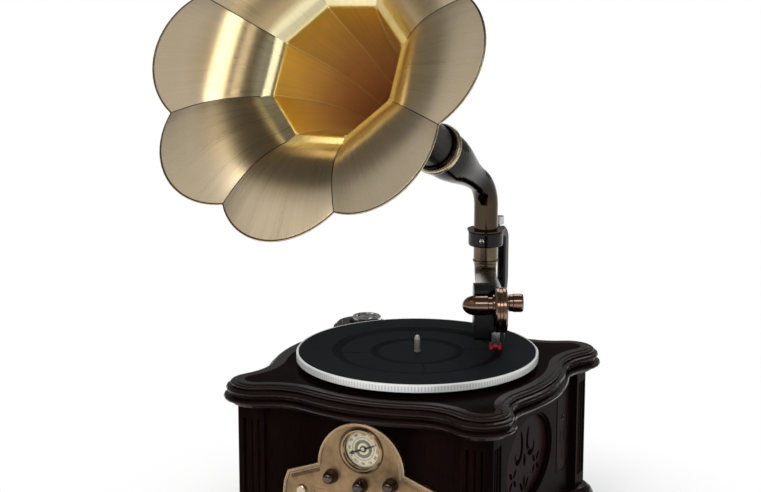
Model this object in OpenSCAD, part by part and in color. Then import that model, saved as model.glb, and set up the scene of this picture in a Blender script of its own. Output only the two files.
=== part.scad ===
// Table gramophone with a petal horn, a record turntable, a radio dial and a disc tray.
// Millimetres. Z is up, the front faces -Y, and the origin lies on the floor below the platter's axis.

/* [Body] */
// Width and depth of the body over its corner posts
body_w = 332; // [322:1:344]
// Height of the body between the two mouldings
body_h = 155; // [150:1:175]
// Width of a corner post
post_w = 38; // [34:1:42]
// Depth that the panels lie behind the faces of the posts
panel_inset = 7; // [5:1:9]
// Thickness of the panels
panel_t = 12; // [9:1:14]
// Height of the base moulding
base_h = 45; // [42:1:55]
// Height of the feet
foot_h = 8; // [5:1:14]
// Diameter of a foot
foot_d = 34; // [24:1:40]

/* [Moulded edge] */
// Thickness of the top board
board_t = 28; // [27:1:34]
// Reach of the moulding past the posts
edge_reach = 20; // [18:1:24]
// Depth of the two hollows in each side
hollow_depth = 15; // [8:1:18]
// Distance from the middle of a side to a hollow
hollow_place = 91; // [84:1:96]
// Radius of a hollow
hollow_r = 65; // [50:1:80]

/* [Front plate] */
// Radius of the arch over the dial
arch_r = 56.5; // [50:0.5:62]
// Height of the arch's centre above the body's lower edge
arch_z = 94.5; // [84:0.5:96]
// Thickness of the plate
plate_t = 3.7; // [2.5:0.1:5]
// Half the width of the plate at its wings
wing_x = 104; // [98:1:110]
// Width of the bright border
border_w = 3.2; // [2:0.2:5]
// Height that the border stands out from the plate
border_h = 1.2; // [0.6:0.1:2]
// Radius of the dial's hole in the plate
dial_r = 24.5; // [20:0.5:30]
// Height of the dial's centre above the arch's centre
dial_up = 23; // [20:0.5:25]
// Diameter of the control knobs
knob_d = 22; // [18:1:26]
// Length of the control knobs
knob_l = 14; // [10:1:20]
// Distance between the control knobs
knob_gap = 39; // [34:1:42]
// Diameter of the knobs' shafts
shaft_d = 6; // [4:0.5:8]
// Diameter of the round push buttons
button_d = 12; // [9:0.5:16]
// Travel of the push buttons and keys
key_travel = 2; // [1:0.1:3]

/* [Disc tray] */
// Width of the tray's front
tray_w = 132; // [126:1:138]
// Height of the tray's front
tray_h = 17; // [14:1:20]
// Length of the tray
tray_l = 160; // [150:1:170]
// Diameter of the discs that it takes
disc_d = 120; // [118:1:121]

/* [Side grilles] */
// Half the width of the oval
oval_a = 77; // [66:1:80]
// Half the height of the oval
oval_b = 54; // [46:1:58]
// Number of lobes on each pierced flower
lobes = 4; // [3:1:6]
// Thickness of the fretwork
fret_t = 5; // [3:0.5:8]

/* [Turntable] */
// Diameter of the platter
platter_d = 300; // [280:1:304]
// Height of the platter's rim
rim_h = 10; // [7:0.5:12]
// Gap between the rim and the top board
platter_gap = 5.5; // [4:0.5:8]
// Thickness of the mat
mat_t = 3.5; // [1:0.5:4]
// Diameter of the spindle
spindle_d = 7.1; // [6:0.1:8]
// Height of the spindle above the mat
spindle_h = 18.5; // [10:0.5:24]
// Radius of the belt's track under the platter
track_r = 84; // [70:1:90]
// Diameter of the motor's pulley
pulley_d = 14; // [10:1:20]

/* [Bracket] */
// Distance from the platter's axis back to the horn's upright axis
pivot_y = 224; // [222:1:232]
// Height of the clamp ring above the top board
ring_up = 102; // [96:1:112]
// Height of the clamp ring
ring_h = 20; // [16:1:24]
// Outer radius of the clamp ring
ring_r = 23; // [21:0.5:26]
// Outer diameter of the elbow's tube
tube_d = 31.6; // [28:0.2:34]
// Distance from the clamp ring's axis back to the bracket's column
column_back = 64; // [56:1:70]
// Width of the bracket's bar
bar_w = 12; // [8:1:14]
// Depth of the bracket's bar
bar_t = 14; // [10:1:18]

/* [Tone arm] */
// Turn of the arm to the right of straight ahead
arm_turn = 25.8; // [22:0.1:30]
// Length from the pivot to the middle of the sound box
arm_l = 200; // [190:1:204]
// Height of the arm's ball above the mat
ball_up = 60; // [54:1:64]
// Radius of the ball at the arm's foot
ball_r = 15; // [12:0.2:15]
// Radius of the sound box
sound_r = 28.5; // [24:0.5:30]
// Thickness of the sound box
sound_t = 15; // [11:0.5:17]
// Height of the needle's tip above the mat
needle_gap = 0.5; // [0.3:0.1:2]

/* [Horn] */
// Number of petals
petals = 8; // [6:1:10]
// Upward tilt of the horn's axis
horn_tilt = 29; // [20:1:40]
// Turn of the horn to the left of straight ahead
horn_turn = 8.8; // [0:0.1:20]
// Height where the horn's axis crosses the upright axis, above the mat
horn_up = 166; // [160:1:190]
// Distance along the axis from there to the collar
collar_at = 145; // [135:1:160]
// Distance along the axis from the collar to the plane of the notches
bell_l = 300; // [260:1:330]
// Radius of the notches between the petals
notch_r = 198.7; // [180:0.5:215]
// Radius of the petals' tips
tip_r = 225; // [205:1:245]
// Distance that the tips stand ahead of the notches
tip_ahead = 7; // [0:0.5:14]
// Radius of the ridge at the end of the funnel
ridge_r = 87; // [80:1:88]
// Depth of the ridge behind the notches
ridge_back = 51; // [46:1:60]
// Radius of the groove at the foot of the petals
crease_r = 100; // [92:1:106]
// Depth of the groove behind the notches
crease_back = 42; // [34:1:45]
// How far the funnel bows upward in the middle
bow_up = 12; // [0:0.5:14]
// How far the funnel bows to the left in the middle
bow_side = 4.5; // [0:0.5:6]
// Radius of the horn's neck
neck_r = 28; // [22:0.5:30]
// Thickness of the horn's sheet
sheet_t = 1.2; // [0.8:0.1:2]
// Turn of the petals about the horn's axis
petal_turn = 25.9; // [0:0.1:45]

/* [Fits] */
// Radial clearance of shafts that turn
fit_run = 0.08; // [0.04:0.01:0.2]
// Clearance between pieces that move past each other
fit_slide = 0.4; // [0.3:0.05:0.8]

/* [Hidden] */
$fn = 64;

wood = "#3a2418";
dark_wood = "#2c1a12";
brass = "#a68a5c";
bright_brass = "#c2ab7d";
bronze = "#4a3a2c";
chrome = "#c9cbcc";
rubber = "#242628";
black = "#17171a";
cream = "#e9e2cd";

half = body_w / 2;
face = half - panel_inset;
body_z = foot_h + base_h;
board_z = body_z + body_h;
deck_z = board_z + board_t;
mat_z = deck_z + platter_gap + rim_h + 0.5;
inner = half - post_w;

// The serpentine outline: on each side a middle bow, two hollows and, at the corners, round ears.
edge = half + edge_reach;
bow = edge - 1;
bow_turn = 2 * atan(hollow_depth / hollow_place);
bow_r = hollow_place / sin(bow_turn) - hollow_r;
hollow_y = bow - hollow_depth + hollow_r;
ear_sum = hollow_place + hollow_y - hollow_r - edge;
ear_c = ear_sum + sqrt(pow(ear_sum, 2) - (pow(hollow_place, 2) + pow(hollow_y, 2) - pow(hollow_r + edge, 2)));
ear_r = edge - ear_c;
ear_turn = asin((ear_c - hollow_place) / (hollow_r + ear_r));
edge_in = 24;

// Its points, moved outwards by the given distance.
function arc_at(c, r, from, to, steps) =
    [for (i = [0 : steps - 1]) let (a = from + (to - from) * i / steps) [c[0] + r * cos(a), c[1] + r * sin(a)]];
function side_points(out) = concat(
    arc_at([-hollow_place, -hollow_y], hollow_r - out, 90 + ear_turn, 90 - bow_turn, 6),
    arc_at([0, bow_r - bow], bow_r + out, -90 - bow_turn, -90 + bow_turn, 8),
    arc_at([hollow_place, -hollow_y], hollow_r - out, 90 + bow_turn, 90 - ear_turn, 6),
    arc_at([ear_c, -ear_c], ear_r + out, -90 - ear_turn, ear_turn, 10));
function turned(p, a) = [p[0] * cos(a) - p[1] * sin(a), p[0] * sin(a) + p[1] * cos(a)];
function edge_points(out) = [for (side = [0 : 3], p = side_points(out)) turned(p, side * 90)];

// A moulding: its closed profile, of [reach, height] points, led once round the outline.
function led_points(profile) = [for (p = profile, q = edge_points(p[0])) [q[0], q[1], p[1]]];
function led_faces(m, n) = [for (j = [0 : m - 1], i = [0 : n - 1])
    let (k = (j + 1) % m, h = (i + 1) % n) [j * n + i, k * n + i, k * n + h, j * n + h]];

module moulding(profile) {
    points = led_points(profile);
    polyhedron(points = points, faces = led_faces(len(profile), len(points) / len(profile)), convexity = 6);
}

// A round bead in a profile, from its lower end to its upper end.
function bead(x, z, r, steps) =
    [for (i = [0 : steps]) let (a = -90 + 180 * i / steps) [x + r * cos(a), z + r * sin(a)]];

// From the bottom: a wide bead, a hollow, a narrower bead, a groove and a small bead under the top.
lower_bead = 3;
middle_bead = 3.6;
upper_bead = 1.9;
lip_in = 13.5;
board_profile = concat(
    [[-edge_in, 0], [-9, 0], [-6.5, 3.6]],
    bead(-1.6, 5 + lower_bead, lower_bead, 4),
    [[-5.4, 12.4], [-6.2, 14.2]],
    bead(-5.2, 15 + middle_bead, middle_bead, 4),
    bead(-8.8, 22.8 + upper_bead, upper_bead, 3),
    [[-lip_in, board_t - 1.2], [-lip_in - 1.2, board_t], [-edge_in, board_t]]);

module top_moulding() {
    color(wood)
        translate([0, 0, board_z])
            moulding(board_profile);
}

module top_board() {
    color(wood)
        translate([0, 0, board_z])
            difference() {
                linear_extrude(board_t)
                    polygon(edge_points(-edge_in));
                translate([0, 0, -1])
                    cylinder(d = bearing_d, h = board_t + 2);
                translate([pulley_x, pulley_y, -1])
                    cylinder(d = pulley_d + 6, h = board_t + 2);
                translate([peg_x, peg_y, board_t - peg_sink])
                    cylinder(d = spindle_d, h = peg_sink + 1);
            }
}

fascia_h = 14;
base_bead = 2;
swell_out = 17;
swell_h = 21;
base_profile = concat(
    [[-edge_in, 0], [1.5, 0], [1.5, fascia_h - 0.5]],
    bead(1.5, fascia_h + base_bead, base_bead, 3),
    [[-2, fascia_h + 2 * base_bead + 0.5]],
    [for (i = [0 : 4]) let (a = 90 - 22.5 * i) [-2 - swell_out * (1 - sin(a)), base_h - swell_h * (1 - cos(a))]],
    [[-edge_in, base_h]]);

module base_moulding() {
    color(wood)
        translate([0, 0, foot_h])
            moulding(base_profile);
}

module base_frame() {
    color(wood)
        translate([0, 0, foot_h])
            difference() {
                linear_extrude(base_h)
                    polygon(edge_points(-edge_in));
                translate([-inner, -inner, -1])
                    cube([2 * inner, 2 * inner, base_h + 2]);
            }
}

// Corner posts with rounded corners and two reeds in a sunk channel on each outer face.
post_round = 8;
channel_w = 22;
channel_d = 5;
channel_end = 16;
reed_d = 9;

module post_section() {
    union() {
        square([post_w - post_round, post_w]);
        square([post_w, post_w - post_round]);
        translate([post_w - post_round, post_w - post_round])
            circle(r = post_round);
    }
}

module post() {
    channel_l = body_h - 2 * channel_end;
    mid = (post_w - channel_w) / 2 + channel_w / 2 - 2;
    difference() {
        linear_extrude(body_h)
            post_section();
        translate([post_w - channel_d, mid - channel_w / 2, channel_end])
            cube([channel_d + 1, channel_w, channel_l]);
        translate([mid - channel_w / 2, post_w - channel_d, channel_end])
            cube([channel_w, channel_d + 1, channel_l]);
    }
    for (k = [-1, 1])
        translate([0, 0, channel_end]) {
            translate([post_w - channel_d, mid + k * reed_d / 2, 0])
                intersection() {
                    cylinder(d = reed_d, h = channel_l);
                    translate([0, -reed_d, 0])
                        cube([reed_d, 2 * reed_d, channel_l]);
                }
            translate([mid + k * reed_d / 2, post_w - channel_d, 0])
                intersection() {
                    cylinder(d = reed_d, h = channel_l);
                    translate([-reed_d, 0, 0])
                        cube([2 * reed_d, reed_d, channel_l]);
                }
        }
}

module corner_posts() {
    color(dark_wood)
        for (side = [0 : 3])
            rotate([0, 0, side * 90])
                translate([inner, inner, body_z])
                    post();
}

// Puts a piece on the front: its x stays, its y becomes the height and its z points forward.
module on_front(x, z, ahead = 0) {
    translate([x, -face - ahead, z])
        rotate([90, 0, 0])
            children();
}

arch_centre = body_z + arch_z;
dial_z = arch_centre + dial_up;
knob_z = arch_centre - 14.5;
mode_drop = 6;
tray_z = arch_centre - 32.5 - 17;
tray_clear = 0.3;
key_z = tray_z - 17;
button_x = 79;
button_z = arch_centre - 37.5;
key_x = 26;
key_w = 16;
key_h = 8;
dial_well = 12;

module tray_slot(clear, depth) {
    translate([-tray_w / 2 - clear, -clear, 0])
        cube([tray_w + 2 * clear, tray_h + 2 * clear, depth]);
}

module key_slot(x, clear, depth) {
    translate([x - key_w / 2 - clear, key_z - key_h / 2 - clear, 0])
        cube([key_w + 2 * clear, key_h + 2 * clear, depth]);
}

module front_panel() {
    color(dark_wood)
        difference() {
            translate([-inner, -face, body_z])
                cube([2 * inner, panel_t, body_h]);
            on_front(0, dial_z, -panel_t - 1)
                cylinder(r = dial_r - 2, h = panel_t + 2);
            for (k = [-1, 0, 1])
                on_front(k * knob_gap, knob_z - (k == 0 ? mode_drop : 0), -panel_t - 1)
                    cylinder(d = shaft_d + 4, h = panel_t + 2);
            on_front(0, tray_z, -panel_t - 1)
                tray_slot(tray_clear + 0.2, panel_t + 2);
            on_front(0, 0, -panel_t - 1)
                for (k = [-1, 0, 1])
                    key_slot(k * key_x, 1, panel_t + 2);
            for (k = [-1, 1])
                on_front(k * button_x, button_z, -panel_t - 1)
                    cylinder(d = button_d + 1, h = panel_t + 2);
        }
}

oval_y = -21;
oval_z = body_z + 87;
groove_w = 3;
function oval(a, b) = [for (i = [0 : 71]) [a * cos(5 * i), b * sin(5 * i)]];

// Puts a piece on the right side: its x runs back, its y is the height and its z points outwards.
module on_right(y, z, out = 0) {
    translate([face + out, y, z])
        rotate([90, 0, 90])
            children();
}

strip_y = 97;
strip_w = 40;
strip_h = 98;
strip_z = body_z + 34;
strip_sink = 2;
jack_d = 6;
jack_up = strip_h - 28;

module strip_shape(grow) {
    union() {
        translate([-strip_w / 2 - grow, strip_w / 2])
            square([strip_w + 2 * grow, strip_h - strip_w / 2 + grow]);
        translate([0, strip_w / 2])
            circle(d = strip_w + 2 * grow);
    }
}

module side_panel_blank() {
    difference() {
        translate([face - panel_t, -inner, body_z])
            cube([panel_t, 2 * inner, body_h]);
        on_right(oval_y, oval_z, -panel_t - 1)
            linear_extrude(panel_t + 2)
                polygon(oval(oval_a - groove_w, oval_b - groove_w));
        on_right(oval_y, oval_z, -2.5)
            linear_extrude(4)
                polygon(oval(oval_a, oval_b));
    }
}

module side_panels() {
    color(dark_wood) {
        difference() {
            side_panel_blank();
            on_right(strip_y, strip_z, -strip_sink)
                linear_extrude(strip_sink + 1)
                    strip_shape(0);
            on_right(strip_y, strip_z + jack_up, -panel_t - 1)
                cylinder(d = jack_d + 0.4, h = panel_t + 1);
            on_right(strip_y - strip_w / 2 - 5, strip_z + 2, -3)
                cube([3, strip_h - 2, 4]);
        }
        mirror([1, 0, 0])
            side_panel_blank();
    }
}

// Fretwork: two hooked scrolls with a drop between them, a flower at each side and a tulip below.
module leaf(l, w) {
    r = (l * l / 4 + w * w / 4) / w;
    translate([0, l / 2])
        intersection() {
            translate([r - w / 2, 0])
                circle(r = r, $fn = 96);
            translate([w / 2 - r, 0])
                circle(r = r, $fn = 96);
        }
}

fret_a = oval_a - groove_w - 0.3;
fret_b = oval_b - groove_w - 0.3;
scroll_l = 66;
scroll_w = 8.4;
scroll_steps = 18;
function scroll_heading(t) = 255 * pow(t, 2.3) - 108;
scroll_line = [for (i = 0, p = [fret_a * 0.18, fret_b * 0.74]; i <= scroll_steps;
    p = p + scroll_l / scroll_steps * [cos(scroll_heading((i + 0.5) / scroll_steps)),
        sin(scroll_heading((i + 0.5) / scroll_steps))], i = i + 1) p];
function scroll_half(t) = scroll_w / 2 * sqrt(sin(180 * pow(t, 0.85)));
function scroll_side(k, i) = let (t = i / scroll_steps, h = scroll_heading(t))
    scroll_line[i] + k * scroll_half(t) * [sin(h), -cos(h)];
scroll = concat([for (i = [0 : scroll_steps]) scroll_side(1, i)],
    [for (i = [scroll_steps - 1 : -1 : 1]) scroll_side(-1, i)]);

module pierce(x, y, turn, l, w) {
    translate([x, y, -1])
        rotate([0, 0, turn])
            linear_extrude(fret_t + 2)
                leaf(l, w);
}

module fret() {
    flower_l = fret_b * 0.29;
    difference() {
        linear_extrude(fret_t)
            polygon(oval(fret_a, fret_b));
        for (m = [0, 1])
            mirror([m, 0, 0]) {
                translate([0, 0, -1])
                    linear_extrude(fret_t + 2)
                        polygon(scroll);
                translate([fret_a * 0.52, -fret_b * 0.35, 0])
                    for (i = [0 : lobes - 1])
                        rotate([0, 0, 45 + 360 * i / lobes])
                            pierce(0, 2, 0, flower_l, flower_l * 0.46);
                pierce(fret_a * 0.04, -fret_b * 0.86, -38, fret_b * 0.4, fret_b * 0.13);
            }
        pierce(0, -fret_b * 0.25, 0, fret_b * 0.36, fret_b * 0.17);
        pierce(0, -fret_b * 0.83, 0, fret_b * 0.4, fret_b * 0.15);
    }
}

module grille_frets() {
    color(dark_wood)
        for (m = [0, 1])
            mirror([m, 0, 0])
                on_right(oval_y, oval_z, -panel_t)
                    fret();
}

cloth_t = 1;

module grille_cloths() {
    color(black)
        for (m = [0, 1])
            mirror([m, 0, 0])
                on_right(oval_y, oval_z, -panel_t - cloth_t)
                    linear_extrude(cloth_t)
                        polygon(oval(oval_a + 6, oval_b + 6));
}

speaker_r = 52;

module speakers() {
    color(black)
        for (m = [0, 1])
            mirror([m, 0, 0])
                on_right(oval_y, oval_z, -panel_t - cloth_t)
                    rotate([0, 180, 0])
                        rotate_extrude()
                            polygon([[speaker_r - 6, 0], [speaker_r, 0], [speaker_r, 4], [speaker_r - 4, 5],
                                [26, 24], [26, 28], [33, 28], [33, 44], [0, 44], [0, 14], [9, 12], [14, 18],
                                [40, 4]]);
}

module back_panel() {
    color(black)
        difference() {
            translate([-inner, face - panel_t, body_z])
                cube([2 * inner, panel_t, body_h]);
            for (k = [-1, 1], i = [0 : 7])
                translate([k * 85 - 24, face - panel_t - 1, body_z + 92 + 6 * i])
                    cube([48, panel_t + 2, 2.5]);
            translate([inlet_x - inlet_w / 2, face - panel_t - 1, inlet_z])
                cube([inlet_w, panel_t + 2, inlet_h]);
            for (k = [0, 1])
                translate([line_x + 18 * k, face - panel_t - 1, line_z])
                    rotate([-90, 0, 0])
                        cylinder(d = line_d, h = panel_t + 2);
        }
}

floor_t = 9;

module bottom_panel() {
    color(black)
        difference() {
            translate([-inner, -inner, foot_h + 4])
                cube([2 * inner, 2 * inner, floor_t]);
            for (x = [-2 : 2], y = [-1, 1])
                translate([x * 30 - 3, y * 70 - 25, foot_h])
                    cube([6, 50, floor_t + 8]);
        }
}

module foot(h) {
    rotate_extrude()
        polygon([[0, 0], [foot_d / 2 - 3, 0], [foot_d / 2 - 1, 1.5], [foot_d / 2, h], [0, h]]);
}

module feet() {
    color(rubber) {
        for (x = [-1, 1], y = [-1, 1])
            translate([x * ear_c, y * ear_c, 0])
                foot(foot_h);
        foot(foot_h + 4);
    }
}

// Outline of the front plate, drawn in by a distance: an arch between two sloping wings.
wing_drop = 14.5;
wing_slope = 0.36;
function wing_side(k) = [[k * (arch_r - 14), wing_slope * (wing_x - arch_r + 7) - wing_drop],
    [k * (wing_x - 7), -wing_drop], [k * (wing_x - 2), -28], [k * wing_x, -44], [k * (wing_x - 1), -62],
    [k * (wing_x - 8), -78], [k * (wing_x - 26), -82]];
function reversed(p) = [for (i = [len(p) - 1 : -1 : 0]) p[i]];
wings = concat(wing_side(1), reversed(wing_side(-1)));
function drawn_in(p, d) = [for (i = [0 : len(p) - 1])
    let (a = p[(i + len(p) - 1) % len(p)], b = p[i], c = p[(i + 1) % len(p)],
        u = (b - a) / norm(b - a), v = (c - b) / norm(c - b), n = [u[1] + v[1], -u[0] - v[0]])
    b + n * d / (1 + u * v)];

module plate_solid(h, d = 0) {
    union() {
        cylinder(r = arch_r - d, h = h, $fn = 120);
        linear_extrude(h)
            polygon(drawn_in(wings, d));
    }
}

module front_plate() {
    color(brass)
        difference() {
            on_front(0, arch_centre)
                plate_solid(plate_t);
            on_front(0, dial_z, -1)
                cylinder(r = dial_r, h = plate_t + 2);
            for (k = [-1, 0, 1])
                on_front(k * knob_gap, knob_z - (k == 0 ? mode_drop : 0), -1)
                    cylinder(d = shaft_d + 2 * fit_run, h = plate_t + 2);
            on_front(0, tray_z, -1)
                tray_slot(tray_clear, plate_t + 2);
            on_front(0, 0, -1)
                for (k = [-1, 0, 1])
                    key_slot(k * key_x, fit_slide, plate_t + 2);
            for (k = [-1, 1])
                on_front(k * button_x, button_z, -1)
                    cylinder(d = button_d + 2 * fit_slide, h = plate_t + 2);
        }
}

module plate_border() {
    color(bright_brass)
        on_front(0, arch_centre, plate_t)
            difference() {
                plate_solid(border_h);
                translate([0, 0, -1])
                    plate_solid(border_h + 2, border_w);
            }
}

bezel_flange = 3;
glass_t = 1.5;
face_t = 1;
face_deep = 3.5;

module dial_bezel() {
    color(bright_brass)
        on_front(0, dial_z, plate_t)
            rotate_extrude()
                polygon([[dial_r - 2, -plate_t], [dial_r, -plate_t], [dial_r, 0], [dial_r + bezel_flange, 0],
                    [dial_r + bezel_flange, 1.2], [dial_r + 1, 2.8], [dial_r - 1, 2.4], [dial_r - 2, 1]]);
}

module dial_face() {
    color(cream)
        on_front(0, dial_z, -face_deep)
            difference() {
                cylinder(r = dial_r - 2, h = face_t);
                translate([0, 0, -1])
                    cylinder(d = pin_d + 2 * fit_run, h = face_t + 2);
            }
}

module dial_glass() {
    color("white", 0.25)
        on_front(0, dial_z, plate_t - glass_t)
            cylinder(r = dial_r - 2, h = glass_t);
}

pin_d = 2;
pointer_t = 0.6;
pointer_turn = 22;

module dial_pointer() {
    color(black)
        on_front(0, dial_z, -face_deep + face_t + 1.2)
            rotate([0, 0, pointer_turn]) {
                linear_extrude(pointer_t)
                    union() {
                        circle(d = 7);
                        polygon([[0, 1.6], [-12, 1], [-14, 2.4], [-20, 0], [-14, -2.4], [-12, -1], [0, -1.6],
                            [12, -0.8], [20.5, 0], [12, 0.8]]);
                    }
                translate([0, 0, -11])
                    cylinder(d = pin_d, h = 11);
            }
}

module knob() {
    flutes = 18;
    difference() {
        rotate_extrude()
            polygon([[0, 0], [knob_d / 2 - 1, 0], [knob_d / 2, 1], [knob_d / 2, 3], [knob_d / 2 - 1.5, 4],
                [knob_d / 2 - 2, knob_l - 3], [knob_d / 2 - 3.5, knob_l - 1], [knob_d / 4, knob_l],
                [0, knob_l - 0.6]]);
        for (i = [0 : flutes - 1])
            rotate([0, 0, i * 360 / flutes])
                translate([knob_d / 2 - 0.9, 0, 4.5])
                    cylinder(r = 1.3, h = knob_l, $fn = 24);
    }
}

shaft_back = 13;

module knob_with_shaft(k) {
    color(bronze)
        on_front(k * knob_gap, knob_z - (k == 0 ? mode_drop : 0), plate_t + 0.5) {
            knob();
            translate([0, 0, -plate_t - 0.5 - shaft_back])
                cylinder(d = shaft_d, h = plate_t + 0.5 + shaft_back + 1);
        }
}

module volume_knob() { knob_with_shaft(-1); }
module mode_knob() { knob_with_shaft(0); }
module tuning_knob() { knob_with_shaft(1); }

module control_pots() {
    color(chrome)
        for (k = [-1, 0, 1])
            on_front(k * knob_gap, knob_z - (k == 0 ? mode_drop : 0), -panel_t - 10)
                difference() {
                    union() {
                        cylinder(d = 17, h = 8);
                        cylinder(d = 9, h = 10);
                    }
                    translate([0, 0, 8.5])
                        cylinder(d = shaft_d + 2 * fit_run, h = 3);
                }
}

module push_button(k) {
    color(bright_brass)
        on_front(k * button_x, button_z, -5)
            rotate_extrude()
                polygon([[0, 0], [button_d / 2, 0], [button_d / 2, plate_t + 8], [button_d / 2 - 1, plate_t + 9],
                    [0, plate_t + 9.5]]);
}

module left_button() { push_button(-1); }
module right_button() { push_button(1); }

module key(k) {
    color(bright_brass)
        on_front(k * key_x, key_z, -5)
            translate([-key_w / 2, -key_h / 2, 0])
                union() {
                    cube([key_w, key_h, plate_t + 7]);
                    translate([1, 1, 0])
                        cube([key_w - 2, key_h - 2, plate_t + 8]);
                }
}

module back_key() { key(-1); }
module play_key() { key(0); }
module next_key() { key(1); }

jack_l = 12;

module socket_strip() {
    color(wood)
        on_right(strip_y, strip_z, -strip_sink)
            difference() {
                union() {
                    linear_extrude(1.2)
                        strip_shape(-0.2);
                    translate([0, jack_up, -jack_l])
                        cylinder(d = jack_d, h = jack_l);
                }
                translate([0, jack_up, -jack_l - 1])
                    cylinder(d = 3.6, h = jack_l + 4);
                for (x = [-9, 3])
                    translate([x, 38, -1])
                        cube([2, 16, 4]);
                translate([-3, 16, -1])
                    cube([2, 12, 4]);
            }
}

// The disc tray and the drive that carries it.
well_d = disc_d + 1.5;
well_deep = 5;
bed_h = 9;
bed_up = (tray_h - bed_h) / 2;
front_t = 5;
bed_y = -face - plate_t + front_t;

module tray_front() {
    color(brass)
        on_front(0, tray_z, plate_t - front_t)
            difference() {
                translate([-tray_w / 2, 0, 0])
                    cube([tray_w, tray_h, front_t]);
                translate([-tray_w / 2 + 3, 3, front_t - 0.8])
                    cube([tray_w - 6, tray_h - 6, 2]);
            }
}

module disc_tray() {
    color(black)
        difference() {
            translate([-tray_w / 2 + 2, bed_y, tray_z + bed_up])
                cube([tray_w - 4, tray_l, bed_h]);
            translate([0, bed_y + 5 + well_d / 2, tray_z + bed_up + bed_h - well_deep])
                cylinder(d = well_d, h = well_deep + 1, $fn = 96);
            translate([-18, bed_y + 5 + well_d / 2 - 18, tray_z + bed_up - 1])
                cube([36, tray_l, bed_h]);
        }
}

drive_t = 1.6;
drive_l = tray_l + 8;
drive_under = 3;
drive_h = tray_h + drive_under + 1;

module disc_drive() {
    color(chrome)
        difference() {
            translate([-tray_w / 2 - 4, -face + panel_t, tray_z - drive_under])
                cube([tray_w + 8, drive_l, drive_h]);
            translate([-tray_w / 2 + 2 - fit_slide, -face + panel_t - 1, tray_z + bed_up - fit_slide])
                cube([tray_w - 4 + 2 * fit_slide, drive_l - drive_t + 1, bed_h + 2 * fit_slide]);
            translate([-tray_w / 2 + 6, -face + panel_t - 1, tray_z - drive_under + drive_t])
                cube([tray_w - 12, drive_l - drive_t + 1, drive_h - 2 * drive_t]);
        }
}

module circuit_board() {
    color("#1f5a34")
        union() {
            translate([-100, 20, foot_h + 4 + floor_t + 6])
                cube([130, 100, 1.6]);
            for (x = [-90, 20], y = [28, 112])
                translate([x, y, foot_h + 4 + floor_t])
                    cylinder(d = 6, h = 6.5);
            for (i = [0 : 3])
                translate([-82 + 26 * i, 50 + 12 * (i % 2), foot_h + 4 + floor_t + 7.6])
                    cylinder(d = 12, h = 18);
        }
}

module transformer() {
    color("#7a7f83")
        translate([62, 60, foot_h + 4 + floor_t]) {
            cube([56, 66, 3]);
            translate([6, 8, 3])
                cube([44, 50, 16]);
            translate([0, 16, 19])
                cube([56, 34, 18]);
            translate([6, 8, 37])
                cube([44, 50, 8]);
        }
}

inlet_x = 84;
inlet_z = body_z + 16;
inlet_w = 28;
inlet_h = 20;

module mains_inlet() {
    color(black)
        difference() {
            union() {
                translate([inlet_x - inlet_w / 2, face - panel_t - 4, inlet_z])
                    cube([inlet_w, panel_t + 4, inlet_h]);
                translate([inlet_x - inlet_w / 2 - 3, face, inlet_z - 3])
                    cube([inlet_w + 6, 2, inlet_h + 6]);
            }
            translate([inlet_x - inlet_w / 2 + 3, face - 12, inlet_z + 3])
                cube([inlet_w - 6, 20, inlet_h - 6]);
        }
    color(chrome)
        for (k = [-1, 1])
            translate([inlet_x + k * 5, face - 12, inlet_z + inlet_h / 2])
                rotate([-90, 0, 0])
                    cylinder(d = 2.4, h = 9);
}

line_x = -96;
line_z = body_z + 26;
line_d = 9;

module line_sockets() {
    color(chrome)
        for (k = [0, 1])
            translate([line_x + 18 * k, face - panel_t - 3, line_z])
                rotate([-90, 0, 0])
                    difference() {
                        union() {
                            cylinder(d = line_d, h = panel_t + 3);
                            translate([0, 0, panel_t + 3])
                                cylinder(d = line_d + 4, h = 1.5);
                            translate([0, 0, panel_t + 4.5])
                                cylinder(d = 8.3, h = 7);
                        }
                        translate([0, 0, panel_t])
                            cylinder(d = 3.2, h = 14);
                    }
}

// Motor, bearing, belt and platter.
bearing_d = 16;
axle_d = 8;
pulley_x = -82;
pulley_y = 82;
web_t = 2.5;
plate_top = mat_z - mat_t;
belt_h = 4;
belt_z = plate_top - web_t - 1.5 - belt_h;
belt_t = 1;
motor_shaft = 3;

module motor() {
    color(chrome)
        translate([pulley_x, pulley_y, board_z - 34])
            difference() {
                union() {
                    cylinder(d = 38, h = 31);
                    translate([0, 0, 31])
                        cylinder(d = 50, h = 3);
                }
                translate([0, 0, 10])
                    cylinder(d = motor_shaft + 2 * fit_run, h = 30);
            }
}

module motor_pulley() {
    color(brass)
        translate([pulley_x, pulley_y, 0]) {
            translate([0, 0, board_z - 20])
                cylinder(d = motor_shaft, h = belt_z - board_z + 20 - 3);
            translate([0, 0, belt_z - 3])
                rotate_extrude()
                    polygon([[0, 0], [pulley_d / 2 + 1, 0], [pulley_d / 2 + 1, 1.5], [pulley_d / 2, 2.5],
                        [pulley_d / 2, belt_h + 3.3], [pulley_d / 2 + 0.6, belt_h + 4], [0, belt_h + 4]]);
        }
}

// The belt runs round the platter's track and the pulley: two arcs and two straight spans.
belt_gap = 0.35;
belt_far = norm([pulley_x, pulley_y]);
belt_lean = acos((track_r - pulley_d / 2) / belt_far);

function belt_loop(out) = concat(
    [for (i = [0 : 60]) let (a = belt_lean + (360 - 2 * belt_lean) * i / 60) (track_r + out) * [cos(a), sin(a)]],
    [for (i = [0 : 16]) let (a = belt_lean * (i / 8 - 1)) [belt_far, 0] + (pulley_d / 2 + out) * [cos(a), sin(a)]]);

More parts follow.
